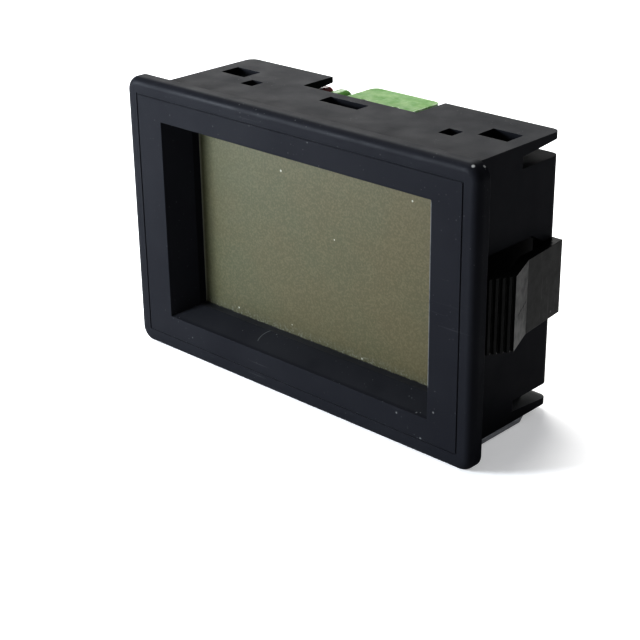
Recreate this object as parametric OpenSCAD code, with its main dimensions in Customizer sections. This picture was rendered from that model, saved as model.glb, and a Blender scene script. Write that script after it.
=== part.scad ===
// Digital panel voltmeter in a snap-in case, with a liquid crystal window and a rear screw terminal.
// The origin is the centre of the panel seat, the rear face of the bezel.
// X points right, Y to the rear and Z up, seen from the front. All sizes are in millimetres.

/* [Bezel] */
// Width of the bezel
bezel_w = 68; // [66:0.5:72]
// Height of the bezel
bezel_h = 44; // [43:0.5:48]
// Thickness of the bezel, from its front face to the panel seat
bezel_t = 2.4; // [2.2:0.1:2.8]
// Rounding of the bezel's front edges
bezel_edge_r = 1.2; // [0.6:0.1:1.4]
// Rounding of the bezel's four corners
bezel_corner_r = 2.3; // [1.8:0.1:2.6]
// Distance of the fine groove from the bezel's edge
groove_in = 2.4; // [2:0.1:3]
// Width of the fine groove
groove_w = 0.2; // [0.15:0.05:0.4]
// Depth of the fine groove
groove_d = 0.1; // [0.1:0.05:0.3]

/* [Recess] */
// Width of the frame beside the recess
frame_side = 7.7; // [7.5:0.1:8.5]
// Width of the frame above and below the recess
frame_top = 6.05; // [6:0.05:7]
// Depth of the recess's sloping walls
funnel_d = 4; // [3.6:0.1:4.4]
// How far the left and right walls slope inwards
funnel_in_x = 2.5; // [2:0.1:3]
// How far the top and bottom walls slope inwards
funnel_in_z = 1.65; // [1.2:0.05:2]
// Depth of the straight lip behind the slope
lip_d = 1.3; // [1:0.1:1.6]

/* [Case] */
// Depth of the case, from the bezel's front face to the rear edges of its walls
case_d = 23.2; // [23:0.1:25]
// Overhang of the bezel at each side
side_overhang = 3.9; // [3.6:0.1:4]
// Overhang of the bezel at the top and the bottom
top_overhang = 1.3; // [1.2:0.1:1.5]
// Thickness of the side walls
wall_t = 1.8; // [1.8:0.1:2]
// Thickness of the top and bottom walls near the bezel
plate_t = 1.7; // [1.5:0.1:1.8]
// Thickness of the top and bottom walls at their rear edges
plate_tip_t = 0.9; // [0.8:0.1:1.2]
// Rounding of the rear corners, seen from above
rear_corner_r = 1.4; // [0.8:0.1:1.6]
// Depth at which the corner slots begin
slot_d = 14.5; // [14.3:0.1:15]
// Height of the corner slots at their front ends
corner_slot_h = 1.7; // [1.3:0.1:2.2]
// Width of the notch over the terminal block
notch_w = 22.2; // [20:0.2:24]
// Depth at which the notch begins
notch_d = 16.7; // [16.5:0.1:17.5]
// Shift of the notch and the terminal block from the middle
notch_x = -1.3; // [-2:0.1:0]
// Height of the guide ribs under the bottom wall
rib_h = 0.8; // [0.5:0.1:1]
// Width of the guide ribs
rib_w = 1.2; // [0.8:0.1:1.6]
// Depth at which the guide ribs end
rib_d = 17.3; // [16:0.1:18]

/* [Clips] */
// Height of the clips
clip_h = 11; // [10:0.5:11]
// Shift of the clips from the middle
clip_z = -0.3; // [-0.5:0.1:0]
// How far the crest stands out from the side wall
crest_out = 4.6; // [4.2:0.1:4.8]
// Depth of the crest
crest_d = 7.8; // [7.5:0.1:8.2]
// Number of teeth on the gripping slope
teeth = 4; // [3:1:5]
// Depth of the grooves between the teeth
tooth_d = 0.42; // [0.2:0.02:0.5]
// Radius of the pivot bead at the clip's root
bead_r = 0.5; // [0.4:0.05:0.5]
// Radial clearance of the pivot bead
bead_clearance = 0.05; // [0.03:0.01:0.08]

/* [Display] */
// Overlap of the glass behind the lip at each side
glass_lap = 1.7; // [1.4:0.1:1.8]
// Overlap of the rear glass behind the lip at the top and the bottom
rear_glass_lap = 0.7; // [0.5:0.1:0.8]
// Width of the contact ledge on the front glass
ledge_w = 2.2; // [2:0.1:2.2]
// Thickness of each glass plate
glass_t = 1.1; // [1:0.1:1.1]
// Thickness of each polarising film
film_t = 0.2; // [0.15:0.05:0.25]
// Thickness of the light guide
guide_t = 5.4; // [5:0.1:5.6]

/* [Board and terminal] */
// Thickness of the circuit board
board_t = 1.6; // [1.4:0.1:1.6]
// Height of the display frame's posts, which carry the board
post_l = 2.3; // [2:0.1:2.5]
// Width of the terminal block
terminal_w = 13.1; // [13:0.1:14]
// Height of the terminal block
terminal_h = 9.5; // [9.4:0.1:10]
// Length of the terminal block behind the board
terminal_l = 10.2; // [10:0.1:11]
// Distance between the two terminals
terminal_pitch = 6.35; // [6.2:0.05:6.5]
// Radius of the wire entries
wire_r = 0.95; // [0.7:0.05:0.95]

/* [Hidden] */
$fn = 64;
// how far a cut or a joined block runs past the face that it meets
over = 0.5;
// gap round pieces that are dropped into a pocket
fit_gap = 0.1;

// outline of the case behind the bezel
body_w = bezel_w - 2 * side_overhang;
body_h = bezel_h - 2 * top_overhang;
inner_w = body_w - 2 * wall_t;
inner_h = body_h - 2 * plate_t;
inner_tip_h = body_h - 2 * plate_tip_t;
side_wall_h = inner_h - 2 * corner_slot_h;

// recess and window
recess_w = bezel_w - 2 * frame_side;
recess_h = bezel_h - 2 * frame_top;
window_w = recess_w - 2 * funnel_in_x;
window_h = recess_h - 2 * funnel_in_z;

// display stack, from the lip to the rear face of the board
glass_w = window_w + 2 * glass_lap;
rear_glass_h = window_h + 2 * rear_glass_lap;
front_glass_h = rear_glass_h + 2 * ledge_w;
film_border = 0.6;
sheet_w = glass_w - 2 * film_border;
sheet_h = rear_glass_h - 2 * film_border / 3;
diffuser_t = 0.2;
reflector_t = 0.3;
lip_back = funnel_d + lip_d;
front_glass_d = lip_back + film_t;
rear_glass_d = front_glass_d + glass_t;
rear_film_d = rear_glass_d + glass_t;
diffuser_d = rear_film_d + film_t;
guide_d = diffuser_d + diffuser_t;
reflector_d = guide_d + guide_t;
frame_back = reflector_d + reflector_t;
board_d = frame_back + post_l;
board_back = board_d + board_t;
guide_lap = 0.2;
guide_w = window_w + 2 * guide_lap;

// block behind the bezel that holds the glass, and the inner walls behind the clips
pocket_w = glass_w + 2 * fit_gap;
pocket_h = front_glass_h + 2 * fit_gap;
pocket_wall = 1.3;
block_w = pocket_w + 2 * pocket_wall;
block_back = rear_film_d - fit_gap;
inner_wall_t = 1.2;
inner_wall_x = block_w / 2 - inner_wall_t;

// frame that carries the light guide and the contact strips, and the board behind it
holder_gap = 0.4;
holder_w = 2 * (inner_wall_x - holder_gap);
holder_edge_gap = 0.6;
holder_h = inner_h - 2 * holder_edge_gap;
post_w = (holder_w - guide_w - fit_gap) / 2;
post_h = 5;
post_z = 10.5;
board_side_gap = 0.3;
board_w = 2 * (inner_wall_x - board_side_gap);
board_edge_gap = 0.5;
board_h = inner_h - 2 * board_edge_gap;
led_h = 4;
led_t = 1;
led_l = 3;
strip_gap = 0.2;
strip_z = rear_glass_h / 2 + strip_gap;
strip_t = ledge_w - 2 * strip_gap;
strip_w = window_w;

// hooks that hold the board and the display frame, each behind its window in the top or bottom wall
hook_in = 1;
hook_land = 0.5;
hook_l = 2.4;
catch_gap = 0.05;
large_window = [5, 3.6];
large_window_edge = 4.9;
large_window_x = body_w / 2 - large_window_edge;
small_window = [2.4, 2.5];
small_window_edge = 10.8;
small_window_x = body_w / 2 - small_window_edge;
middle_window = [7.4, 2.5];
middle_window_lead = 2.2;
middle_window_d = slot_d - middle_window_lead;

// clip: points are given as distance outside the side wall and depth behind the bezel's front
wall_x = body_w / 2;
panel_room = 2.1;
clip_start = bezel_t + panel_room;
tip_out = 2.65;
tip_inner_out = 1.2;
crest_inner_out = 2.8;
crest_inner_back = 0.7;
crest_inner_d = crest_d + crest_inner_back;
shoulder_out = 2.35;
shoulder_d = 13.6;
shoulder_inner_out = 0.8;
root_out = 1.3;
root_inner_out = 0.35;
root_front_d = 20.2;
root_back_gap = 0.3;
root_back_d = case_d - root_back_gap;
root_inner_gap = 0.05;
root_depth = wall_t - root_inner_gap;
bead_x = wall_x - wall_t / 2;
bead_back = 1.6;
bead_d = case_d - bead_back;
bead_l = 1.2;
clip_end_gap = 0.15;
clip_window_gap = 1.7;
clip_tip_gap = 0.7;
clip_window_d = clip_start - clip_tip_gap;
clip_window_taper_d = 17.5;

// terminal block
terminal_top = inner_h / 2 - fit_gap;
terminal_bottom = terminal_top - terminal_h;
terminal_corner_r = 1.2;
terminal_back = board_back + terminal_l;
pole_x = [notch_x - terminal_pitch / 2, notch_x + terminal_pitch / 2];
chamber_w = 5;
chamber_h = 5.4;
chamber_roof = 1.5;
chamber_z = terminal_top - chamber_roof - chamber_h / 2;
chamber_front_t = 1;
chamber_d = board_back + chamber_front_t;
screw_room = 3;
chamber_back = terminal_back - screw_room;
contact_t = 0.6;
contact_w = 3.2;
contact_stand = 4;
contact_d = board_back + contact_stand;
leg_w = 1;
leg_z = chamber_z - chamber_h / 2 - leg_w;
clamp_w = 4.8;
clamp_h = 4.6;
clamp_side = 0.7;
clamp_bar = 0.8;
clamp_gap = 0.2;
clamp_d = chamber_d + clamp_gap;
clamp_l = contact_d + contact_t + fit_gap + clamp_bar - clamp_d;
screw_r = 1.25;
screw_clearance = 0.05;
head_r = 1.9;
head_gap = 0.1;
head_t = 1.6;
head_seat = 0.8;
head_d = chamber_back + head_seat;
driver_slot_w = 0.6;
driver_slot_d = 0.8;

// parts on the rear face of the board
lead_r = 0.3;
green_size = [3.2, 6.2, 9.2];
green_gap = 0.85;
green_x = notch_x - terminal_w / 2 - green_gap - green_size[0] / 2;
red_size = [4.3, 5.6, 9.2];
red_gap = 0.4;
red_x = green_x - green_size[0] / 2 - red_gap - red_size[0] / 2;
dipped_lift = 0.6;
dipped_over = 0.6;
can_r = 2.5;
can_l = 5;
can_edge = [9.9, 9];
can_pos = [board_w / 2 - can_edge[0], board_h / 2 - can_edge[1]];
chip_size = 10;
chip_t = 1.9;
chip_edge = 10.5;
chip_pos = [notch_x, chip_edge - board_h / 2];
resistor_r = 1.1;
resistor_l = 6.2;
axial_edge = 1.9;
axial_pitch = 3;
resistors_in_row = 5;
resistor_edge = 9.5;
resistor_z = resistor_edge - board_h / 2;
diode_r = 0.95;
diode_l = 4.2;
diodes_in_row = 2;
diode_edge = 15.5;
diode_z = board_h / 2 - diode_edge;
regulator_w = 4.6;
regulator_t = 3.6;
regulator_l = 4.2;
regulator_edge = [15.9, 6.5];
regulator_pos = [board_w / 2 - regulator_edge[0], regulator_edge[1] - board_h / 2];
regulator_lift = 1.2;
trimmer_w = 6.6;
trimmer_l = 4.2;
trimmer_edge = [7.9, 11.5];
trimmer_pos = [board_w / 2 - trimmer_edge[0], trimmer_edge[1] - board_h / 2];
rotor_r = 1.7;
rotor_gap = 0.05;
rotor_seat = 1.2;
rotor_l = 1.8;

black = [0.07, 0.07, 0.085];
clear = [0.82, 0.86, 0.84];
white = [0.93, 0.93, 0.9];
steel = [0.72, 0.72, 0.72];

// Y of a plane that lies this deep behind the bezel's front face
function at(depth) = depth - bezel_t;

// slab centred on the Y axis
module slab(w, h, depth, t) {
    translate([-w / 2, at(depth), -h / 2])
        cube([w, t, h]);
}

// box given by its lower and upper corners
module box(low, high) {
    translate(low)
        cube(high - low);
}

// round bar along Y, from one depth to another
module bar(x, z, r, from, to) {
    translate([x, at(from), z])
        rotate([-90, 0, 0])
            cylinder(r = r, h = to - from);
}

// flat shape drawn in Y and Z, given a thickness along X and centred there
module across_x(w) {
    rotate([90, 0, 90])
        linear_extrude(w, center = true)
            children();
}

// flat shape drawn in X and Z, standing from a depth to the rear
module along_y(depth, l) {
    translate([0, at(depth) + l, 0])
        rotate([90, 0, 0])
            linear_extrude(l)
                children();
}

// what rounding takes off the corner that points to [sx, sy], seen from the centre of the arc
module corner_waste(sx, sy, r) {
    difference() {
        translate([sx > 0 ? 0 : -r - over, sy > 0 ? 0 : -r - over])
            square(r + over);
        circle(r);
    }
}

// rectangle with round corners, centred
module round_rect(w, h, r) {
    difference() {
        square([w, h], center = true);
        for (sx = [-1, 1], sy = [-1, 1])
            translate([sx * (w / 2 - r), sy * (h / 2 - r)])
                corner_waste(sx, sy, r);
    }
}

// section of the bezel: a flat bar with its two front edges rounded
module bezel_section(w) {
    difference() {
        translate([-w / 2, -bezel_t])
            square([w, bezel_t]);
        for (s = [-1, 1])
            translate([s * (w / 2 - bezel_edge_r), bezel_edge_r - bezel_t])
                corner_waste(s, -1, bezel_edge_r);
    }
}

// round corner of the bezel, with the rounding of the front edge carried round it
module bezel_corner() {
    rotate([90, 0, 0])
        rotate_extrude()
            difference() {
                square([bezel_corner_r, bezel_t]);
                translate([bezel_corner_r - bezel_edge_r, bezel_t - bezel_edge_r])
                    corner_waste(1, 1, bezel_edge_r);
            }
}

// bezel plate: two crossed bars and a round corner at each end of both
module bezel_plate() {
    bar_w = bezel_w - 2 * bezel_corner_r;
    bar_h = bezel_h - 2 * bezel_corner_r;
    linear_extrude(bar_h, center = true)
        bezel_section(bezel_w);
    across_x(bar_w)
        mirror([1, -1])
            bezel_section(bezel_h);
    for (sx = [-1, 1], sz = [-1, 1])
        translate([sx * bar_w / 2, 0, sz * bar_h / 2])
            bezel_corner();
}

// half the height inside the case at a depth: the walls thin out behind the corner slots
function inner_z(depth) =
    depth <= slot_d ? inner_h / 2
    : inner_h / 2 + (inner_tip_h - inner_h) / 2 * (depth - slot_d) / (case_d - slot_d);

// tube of the case: four walls with round rear corners, hollow from the bezel to the rear
module case_walls() {
    run_out = case_d + over;
    difference() {
        linear_extrude(body_h, center = true)
            difference() {
                translate([-body_w / 2, -over])
                    square([body_w, at(case_d) + over]);
                for (s = [-1, 1])
                    translate([s * (body_w / 2 - rear_corner_r), at(case_d) - rear_corner_r])
                        corner_waste(s, 1, rear_corner_r);
            }
        across_x(inner_w)
            polygon([
                [0, -inner_h / 2], [at(slot_d), -inner_h / 2], [at(run_out), -inner_z(run_out)],
                [at(run_out), inner_z(run_out)], [at(slot_d), inner_h / 2], [0, inner_h / 2]
            ]);
    }
}

// block behind the bezel that takes the glass
module display_block() {
    slab(block_w, inner_h + 2 * over, bezel_t - over, block_back - bezel_t + over);
}

// inner walls behind the clips, each joined to its side wall by a web at the top and the bottom
module inner_walls() {
    wall_l = case_d - block_back;
    for (sx = [0, 1])
        mirror([sx, 0, 0]) {
            translate([inner_wall_x, at(block_back) - over, -side_wall_h / 2])
                cube([inner_wall_t, wall_l + over, side_wall_h]);
            for (sz = [0, 1])
                mirror([0, 0, sz])
                    translate([inner_wall_x, at(block_back) - over, side_wall_h / 2 - inner_wall_t])
                        cube([inner_w / 2 - inner_wall_x + over, wall_l + over, inner_wall_t]);
        }
}

// pair of hooks on the top and bottom walls, each with a catch that faces the bezel
module hooks(x, w, catch_d) {
    for (sx = [-1, 1], sz = [0, 1])
        mirror([0, 0, sz])
            translate([sx * x, 0, 0])
                across_x(w)
                    polygon([
                        [at(catch_d), inner_h / 2 + over],
                        [at(catch_d), inner_h / 2 - hook_in],
                        [at(catch_d + hook_land), inner_h / 2 - hook_in],
                        [at(catch_d + hook_l), inner_h / 2 + over]
                    ]);
}

// ribs under the bottom wall that centre the case in the panel, with sloping outer faces and rear ends
module guide_ribs() {
    rib_top = -body_h / 2;
    rib_low = rib_top - rib_h;
    for (s = [0, 1])
        mirror([s, 0, 0])
            intersection() {
                along_y(bezel_t - over, at(rib_d) + over)
                    polygon([
                        [wall_x, rib_top + over], [wall_x, rib_top], [wall_x - rib_h, rib_low],
                        [wall_x - rib_h - rib_w, rib_low], [wall_x - rib_h - rib_w, rib_top + over]
                    ]);
                across_x(bezel_w)
                    polygon([
                        [-over, rib_low], [at(rib_d) - rib_h, rib_low],
                        [at(rib_d), rib_top], [at(rib_d), rib_top + over], [-over, rib_top + over]
                    ]);
            }
}

// fine groove round the front of the bezel
module front_groove() {
    along_y(-over, groove_d + over)
        difference() {
            square([bezel_w - 2 * groove_in, bezel_h - 2 * groove_in], center = true);
            square(
                [bezel_w - 2 * (groove_in + groove_w), bezel_h - 2 * (groove_in + groove_w)],
                center = true
            );
        }
}

// recess: sloping walls with mitred corners, a straight lip, then the pocket for the glass
module recess() {
    slope_x = funnel_in_x / funnel_d;
    slope_z = funnel_in_z / funnel_d;
    front_w = recess_w + 2 * slope_x * over;
    front_h = recess_h + 2 * slope_z * over;
    intersection() {
        linear_extrude(bezel_h, center = true)
            polygon([
                [-front_w / 2, at(-over)], [front_w / 2, at(-over)],
                [window_w / 2, at(funnel_d)], [-window_w / 2, at(funnel_d)]
            ]);
        across_x(bezel_w)
            polygon([
                [at(-over), -front_h / 2], [at(-over), front_h / 2],
                [at(funnel_d), window_h / 2], [at(funnel_d), -window_h / 2]
            ]);
    }
    slab(window_w, window_h, funnel_d - over / 10, lip_d + over);
    slab(pocket_w, pocket_h, lip_back, block_back - lip_back + over);
}

// slots that part the side walls from the top and bottom walls
module corner_slots() {
    run_out = case_d + over;
    for (sx = [-1, 1], sz = [0, 1])
        mirror([0, 0, sz])
            translate([sx * (inner_w / 2 + wall_t / 2), 0, 0])
                across_x(wall_t + 2 * over)
                    polygon([
                        [at(slot_d), side_wall_h / 2], [at(run_out), side_wall_h / 2],
                        [at(run_out), inner_z(run_out)], [at(slot_d), inner_h / 2]
                    ]);
}

// rectangular window through the top and bottom walls
module wall_window(x, depth, size) {
    for (sz = [0, 1])
        mirror([0, 0, sz])
            box(
                [x - size[0] / 2, at(depth), inner_h / 2 - over],
                [x + size[0] / 2, at(depth) + size[1], body_h / 2 + over]
            );
}

// opening in a side wall that lets the clip swing in, with the bores for the clip's beads
module clip_opening() {
    low = clip_z - clip_h / 2;
    high = clip_z + clip_h / 2;
    translate([wall_x - wall_t / 2, 0, 0])
        across_x(wall_t + 2 * over)
            polygon([
                [at(clip_window_d), low - clip_window_gap], [at(clip_window_d), high + clip_window_gap],
                [at(clip_window_taper_d), high + clip_window_gap], [at(root_front_d), high + clip_end_gap],
                [at(case_d + over), high + clip_end_gap], [at(case_d + over), low - clip_end_gap],
                [at(root_front_d), low - clip_end_gap], [at(clip_window_taper_d), low - clip_window_gap]
            ]);
    translate([bead_x, at(bead_d), low - bead_l - fit_gap])
        cylinder(r = bead_r + bead_clearance, h = clip_h + 2 * (bead_l + fit_gap));
}

module case() {
    color(black)
        difference() {
            union() {
                bezel_plate();
                case_walls();
                display_block();
                inner_walls();
                hooks(large_window_x, large_window[0] - 2 * fit_gap, board_back + catch_gap);
                hooks(small_window_x, small_window[0] - 2 * fit_gap, frame_back + catch_gap);
                guide_ribs();
            }
            front_groove();
            recess();
            corner_slots();
            for (s = [-1, 1]) {
                wall_window(s * large_window_x, board_back + catch_gap - large_window[1], large_window);
                wall_window(s * small_window_x, frame_back + catch_gap - small_window[1], small_window);
            }
            wall_window(notch_x, middle_window_d, middle_window);
            box(
                [notch_x - notch_w / 2, at(notch_d), inner_h / 2 - over],
                [notch_x + notch_w / 2, at(case_d) + over, body_h / 2 + over]
            );
            clip_opening();
            mirror([1, 0, 0])
                clip_opening();
        }
}

// point on the clip's outline: distance outside the wall, and depth
function clip_point(out, depth) = [wall_x + out, at(depth)];

// outline of the clip seen from above, with a toothed slope from the tip up to the crest
function clip_outline() =
    let(
        tip = clip_point(tip_out, clip_start),
        crest = clip_point(crest_out, crest_d),
        run = crest - tip,
        inward = [-run[1], run[0]] / norm(run),
        pitch = 1 / teeth,
        land = 0.4,
        valley = 0.75
    )
    concat(
        [clip_point(tip_inner_out, clip_start)],
        [for (i = [0:teeth - 1]) each [
            tip + run * pitch * i,
            tip + run * pitch * (i + land),
            tip + run * pitch * (i + valley) + inward * tooth_d
        ]],
        [
            crest,
            clip_point(shoulder_out, shoulder_d),
            clip_point(root_out, root_back_d),
            clip_point(-root_depth, root_back_d),
            clip_point(-root_depth, root_front_d),
            clip_point(root_inner_out, root_front_d),
            clip_point(shoulder_inner_out, shoulder_d),
            clip_point(crest_inner_out, crest_inner_d)
        ]
    );

// right clip: a bent arm with a toothed slope, and a bead at each end of its root
module clip() {
    translate([0, 0, clip_z - clip_h / 2])
        linear_extrude(clip_h)
            polygon(clip_outline());
    translate([bead_x, at(bead_d), clip_z - clip_h / 2 - bead_l])
        cylinder(r = bead_r, h = clip_h + 2 * bead_l);
}

module clip_right() {
    color(black)
        clip();
}

module clip_left() {
    color(black)
        mirror([1, 0, 0])
            clip();
}

module front_polariser() {
    color([0.44, 0.45, 0.37])
        slab(sheet_w, front_glass_h - 2 * film_border, lip_back, film_t);
}

module front_glass() {
    color(clear)
        slab(glass_w, front_glass_h, front_glass_d, glass_t);
}

module rear_glass() {
    color(clear)
        slab(glass_w, rear_glass_h, rear_glass_d, glass_t);
}

module rear_polariser() {
    color([0.5, 0.5, 0.42])
        slab(sheet_w, sheet_h, rear_film_d, film_t);
}

module diffuser_sheet() {
    color(white)
        slab(sheet_w, sheet_h, diffuser_d, diffuser_t);
}

module light_guide() {
    color(clear)
        slab(guide_w, sheet_h, guide_d, guide_t);
}

module reflector_sheet() {
    color(white)
        slab(guide_w, sheet_h, reflector_d, reflector_t);
}

// lamp that shines into the left edge of the light guide, on two leads from the board
module backlight_led() {
    lamp_x = -guide_w / 2 - fit_gap - led_t;
    lamp_d = guide_d + (guide_t - led_l) / 2;
    lead_pitch = 2.54;
    color([0.9, 0.92, 0.98]) {
        translate([lamp_x, at(lamp_d), -led_h / 2])
            cube([led_t, led_l, led_h]);
        for (s = [-1, 1])
            bar(lamp_x + led_t / 2, s * lead_pitch / 2, lead_r, lamp_d + led_l / 2, board_d);
    }
}

// frame behind the glass: openings for the light guide, the sheets, the lamp and the contact strips
module display_frame() {
    side_gap = fit_gap / 2;
    frame_l = frame_back - rear_film_d;
    cut_d = rear_film_d - over;
    color(white) {
        difference() {
            slab(holder_w, holder_h, rear_film_d, frame_l);
            slab(sheet_w + fit_gap, sheet_h + fit_gap, cut_d, guide_d - cut_d);
            slab(guide_w + fit_gap, sheet_h + fit_gap, cut_d, frame_l + 2 * over);
            translate([-holder_w / 2 - over, at(cut_d), -led_h / 2 - fit_gap])
                cube([holder_w / 2, frame_l + 2 * over, led_h + 2 * fit_gap]);
            for (s = [0, 1])
                mirror([0, 0, s])
                    box(
                        [-strip_w / 2 - side_gap, at(rear_film_d) - over, strip_z - side_gap],
                        [strip_w / 2 + side_gap, at(frame_back) + over, strip_z + strip_t + side_gap]
                    );
        }
        for (sx = [-1, 1], sz = [-1, 1])
            translate([
                sx * (holder_w / 2 - post_w / 2) - post_w / 2,
                at(frame_back) - over,
                sz * post_z - post_h / 2
            ])
                cube([post_w, post_l + over, post_h]);
    }
}

// rubber strip between a ledge of the glass and the board
module contact_strip() {
    color([0.78, 0.62, 0.6])
        box(
            [-strip_w / 2, at(rear_glass_d), strip_z],
            [strip_w / 2, at(board_d), strip_z + strip_t]
        );
}

module contact_strip_top() {
    contact_strip();
}

module contact_strip_bottom() {
    mirror([0, 0, 1])
        contact_strip();
}

module circuit_board() {
    color([0.07, 0.3, 0.14])
        difference() {
            slab(board_w, board_h, board_d, board_t);
            for (x = pole_x)
                bar(x, leg_z, leg_w * 0.75, board_d - over, board_back + over);
        }
}

// terminal block: chambers for the clamps, wells for the screws, wire entries from above
module terminal_body() {
    shank_gap = 0.15;
    color([0.36, 0.62, 0.3])
        difference() {
            linear_extrude_z(terminal_bottom, terminal_h)
                difference() {
                    translate([notch_x - terminal_w / 2, at(board_back)])
                        square([terminal_w, terminal_l]);
                    for (s = [-1, 1])
                        translate([
                            notch_x + s * (terminal_w / 2 - terminal_corner_r),
                            at(terminal_back) - terminal_corner_r
                        ])
                            corner_waste(s, 1, terminal_corner_r);
                }
            for (x = pole_x) {
                box(
                    [x - chamber_w / 2, at(chamber_d), chamber_z - chamber_h / 2],
                    [x + chamber_w / 2, at(chamber_back), chamber_z + chamber_h / 2]
                );
                bar(x, chamber_z, screw_r + shank_gap, chamber_back - over, head_d + over);
                bar(x, chamber_z, head_r + head_gap, head_d, terminal_back + over);
                wire_entry(x);
                contact_slot(x);
            }
        }
}

// upright prism from a height
module linear_extrude_z(z, h) {
    translate([0, 0, z])
        linear_extrude(h)
            children();
}

// round hole in the top of the block, midway between the clamp's bar and the contact
module wire_entry(x) {
    entry_d = (clamp_d + clamp_bar + contact_d) / 2;
    translate([x, at(entry_d), terminal_top - chamber_roof - over])
        cylinder(r = wire_r, h = chamber_roof + 2 * over);
}

// room in the block for a contact's leg and the end of its plate
module contact_slot(x) {
    gap = fit_gap / 2;
    plate_end = leg_z - leg_w / 2 - gap;
    box(
        [x - contact_w / 2 - gap, at(contact_d) - gap, plate_end],
        [x + contact_w / 2 + gap, at(contact_d) + contact_t + gap, chamber_z]
    );
    box(
        [x - leg_w / 2 - gap, at(board_back) - over, plate_end],
        [x + leg_w / 2 + gap, at(contact_d) + contact_t + gap, leg_z + leg_w / 2 + gap]
    );
}

// contact plates, each bent into a leg that is soldered into the board
module terminal_contacts() {
    color(steel)
        for (x = pole_x) {
            box(
                [x - contact_w / 2, at(contact_d), leg_z - leg_w / 2],
                [x + contact_w / 2, at(contact_d) + contact_t, chamber_z + clamp_h / 2]
            );
            box(
                [x - leg_w / 2, at(board_d), leg_z - leg_w / 2],
                [x + leg_w / 2, at(contact_d) + over, leg_z + leg_w / 2]
            );
        }
}

// wire clamp: a rectangular cage round the contact, with a bored bar for the screw
module terminal_clamp(x) {
    color(steel)
        difference() {
            box(
                [x - clamp_w / 2, at(clamp_d), chamber_z - clamp_h / 2],
                [x + clamp_w / 2, at(clamp_d + clamp_l), chamber_z + clamp_h / 2]
            );
            box(
                [x - clamp_w / 2 + clamp_side, at(clamp_d + clamp_bar), chamber_z - clamp_h],
                [x + clamp_w / 2 - clamp_side, at(clamp_d + clamp_l - clamp_bar), chamber_z + clamp_h]
            );
            bar(x, chamber_z, screw_r + screw_clearance, clamp_d + clamp_l - 2 * clamp_bar, terminal_back);
        }
}

module terminal_clamp_1() {
    terminal_clamp(pole_x[0]);
}

module terminal_clamp_2() {
    terminal_clamp(pole_x[1]);
}

// clamp screw: a slotted head in the well, and a shank that ends just short of the contact
module terminal_screw(x) {
    head_lift = 0.05;
    head_front = head_d + head_lift;
    color(steel)
        difference() {
            union() {
                bar(x, chamber_z, head_r, head_front, head_front + head_t);
                bar(x, chamber_z, screw_r, contact_d + contact_t + fit_gap, head_front + over);
            }
            box(
                [x - driver_slot_w / 2, at(head_front + head_t - driver_slot_d), chamber_z - 2 * head_r],
                [x + driver_slot_w / 2, at(terminal_back), chamber_z + 2 * head_r]
            );
        }
}

module terminal_screw_1() {
    terminal_screw(pole_x[0]);
}

module terminal_screw_2() {
    terminal_screw(pole_x[1]);
}

// dipped film capacitor: a pillow with round edges on two leads
module dipped_capacitor(x, size) {
    top = board_h / 2 + dipped_over;
    mid_z = top - size[2] / 2;
    mid_y = at(board_back + dipped_lift) + size[1] / 2;
    edge_r = size[0] * 0.42;
    broad_r = size[1] * 0.3;
    lead_pitch = 5;
    intersection() {
        translate([x, mid_y, mid_z])
            across_x(size[0])
                round_rect(size[1], size[2], broad_r);
        translate([x, mid_y, mid_z])
            linear_extrude(size[2], center = true)
                round_rect(size[0], size[1], edge_r);
    }
    for (s = [-1, 1])
        bar(x, mid_z + s * lead_pitch / 2, lead_r, board_back, board_back + dipped_lift + over);
}

module green_capacitor() {
    color([0.22, 0.42, 0.16])
        dipped_capacitor(green_x, green_size);
}

module red_capacitor() {
    color([0.42, 0.1, 0.09])
        dipped_capacitor(red_x, red_size);
}

// upright capacitor can with a crimp groove near its foot
module electrolytic_capacitor() {
    groove_r = 0.35;
    groove_at = 1.3;
    color([0.1, 0.1, 0.13])
        difference() {
            bar(can_pos[0], can_pos[1], can_r, board_back, board_back + can_l);
            translate([can_pos[0], at(board_back + groove_at), can_pos[1]])
                rotate([90, 0, 0])
                    rotate_extrude()
                        translate([can_r + groove_r / 3, 0])
                            circle(groove_r);
        }
}

// flat chip package with bevelled upper edges
module controller_chip() {
    bevel = 0.25;
    mid = chip_t / 2;
    section = [
        [-chip_size / 2, 0], [chip_size / 2, 0], [chip_size / 2, mid],
        [chip_size / 2 - bevel, chip_t], [bevel - chip_size / 2, chip_t], [-chip_size / 2, mid]
    ];
    color([0.08, 0.08, 0.08])
        translate([chip_pos[0], at(board_back), chip_pos[1]])
            intersection() {
                linear_extrude(chip_size, center = true)
                    polygon(section);
                across_x(chip_size)
                    polygon([for (p = section) [p[1], p[0]]]);
            }
}

// place in a row of lying parts, counted from the board's left edge
function axial_x(i) = axial_edge - board_w / 2 + i * axial_pitch;

// part that lies on the board along Z, with its two leads bent down into the board
module axial_part(x, z, r, l) {
    lift = 0.05;
    lead_out = 1.4;
    axis_d = board_back + r + lift;
    translate([x, at(axis_d), z])
        cylinder(r = r, h = l, center = true);
    translate([x, at(axis_d), z])
        cylinder(r = lead_r, h = l + 2 * lead_out, center = true);
    for (s = [-1, 1])
        bar(x, z + s * (l / 2 + lead_out - lead_r), lead_r, board_back, axis_d);
}

module resistors() {
    color([0.34, 0.5, 0.62])
        for (i = [0:resistors_in_row - 1])
            axial_part(axial_x(i), resistor_z, resistor_r, resistor_l);
}

module diodes() {
    color([0.09, 0.09, 0.1])
        for (i = [0:diodes_in_row - 1])
            axial_part(axial_x(i), diode_z, diode_r, diode_l);
}

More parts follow.
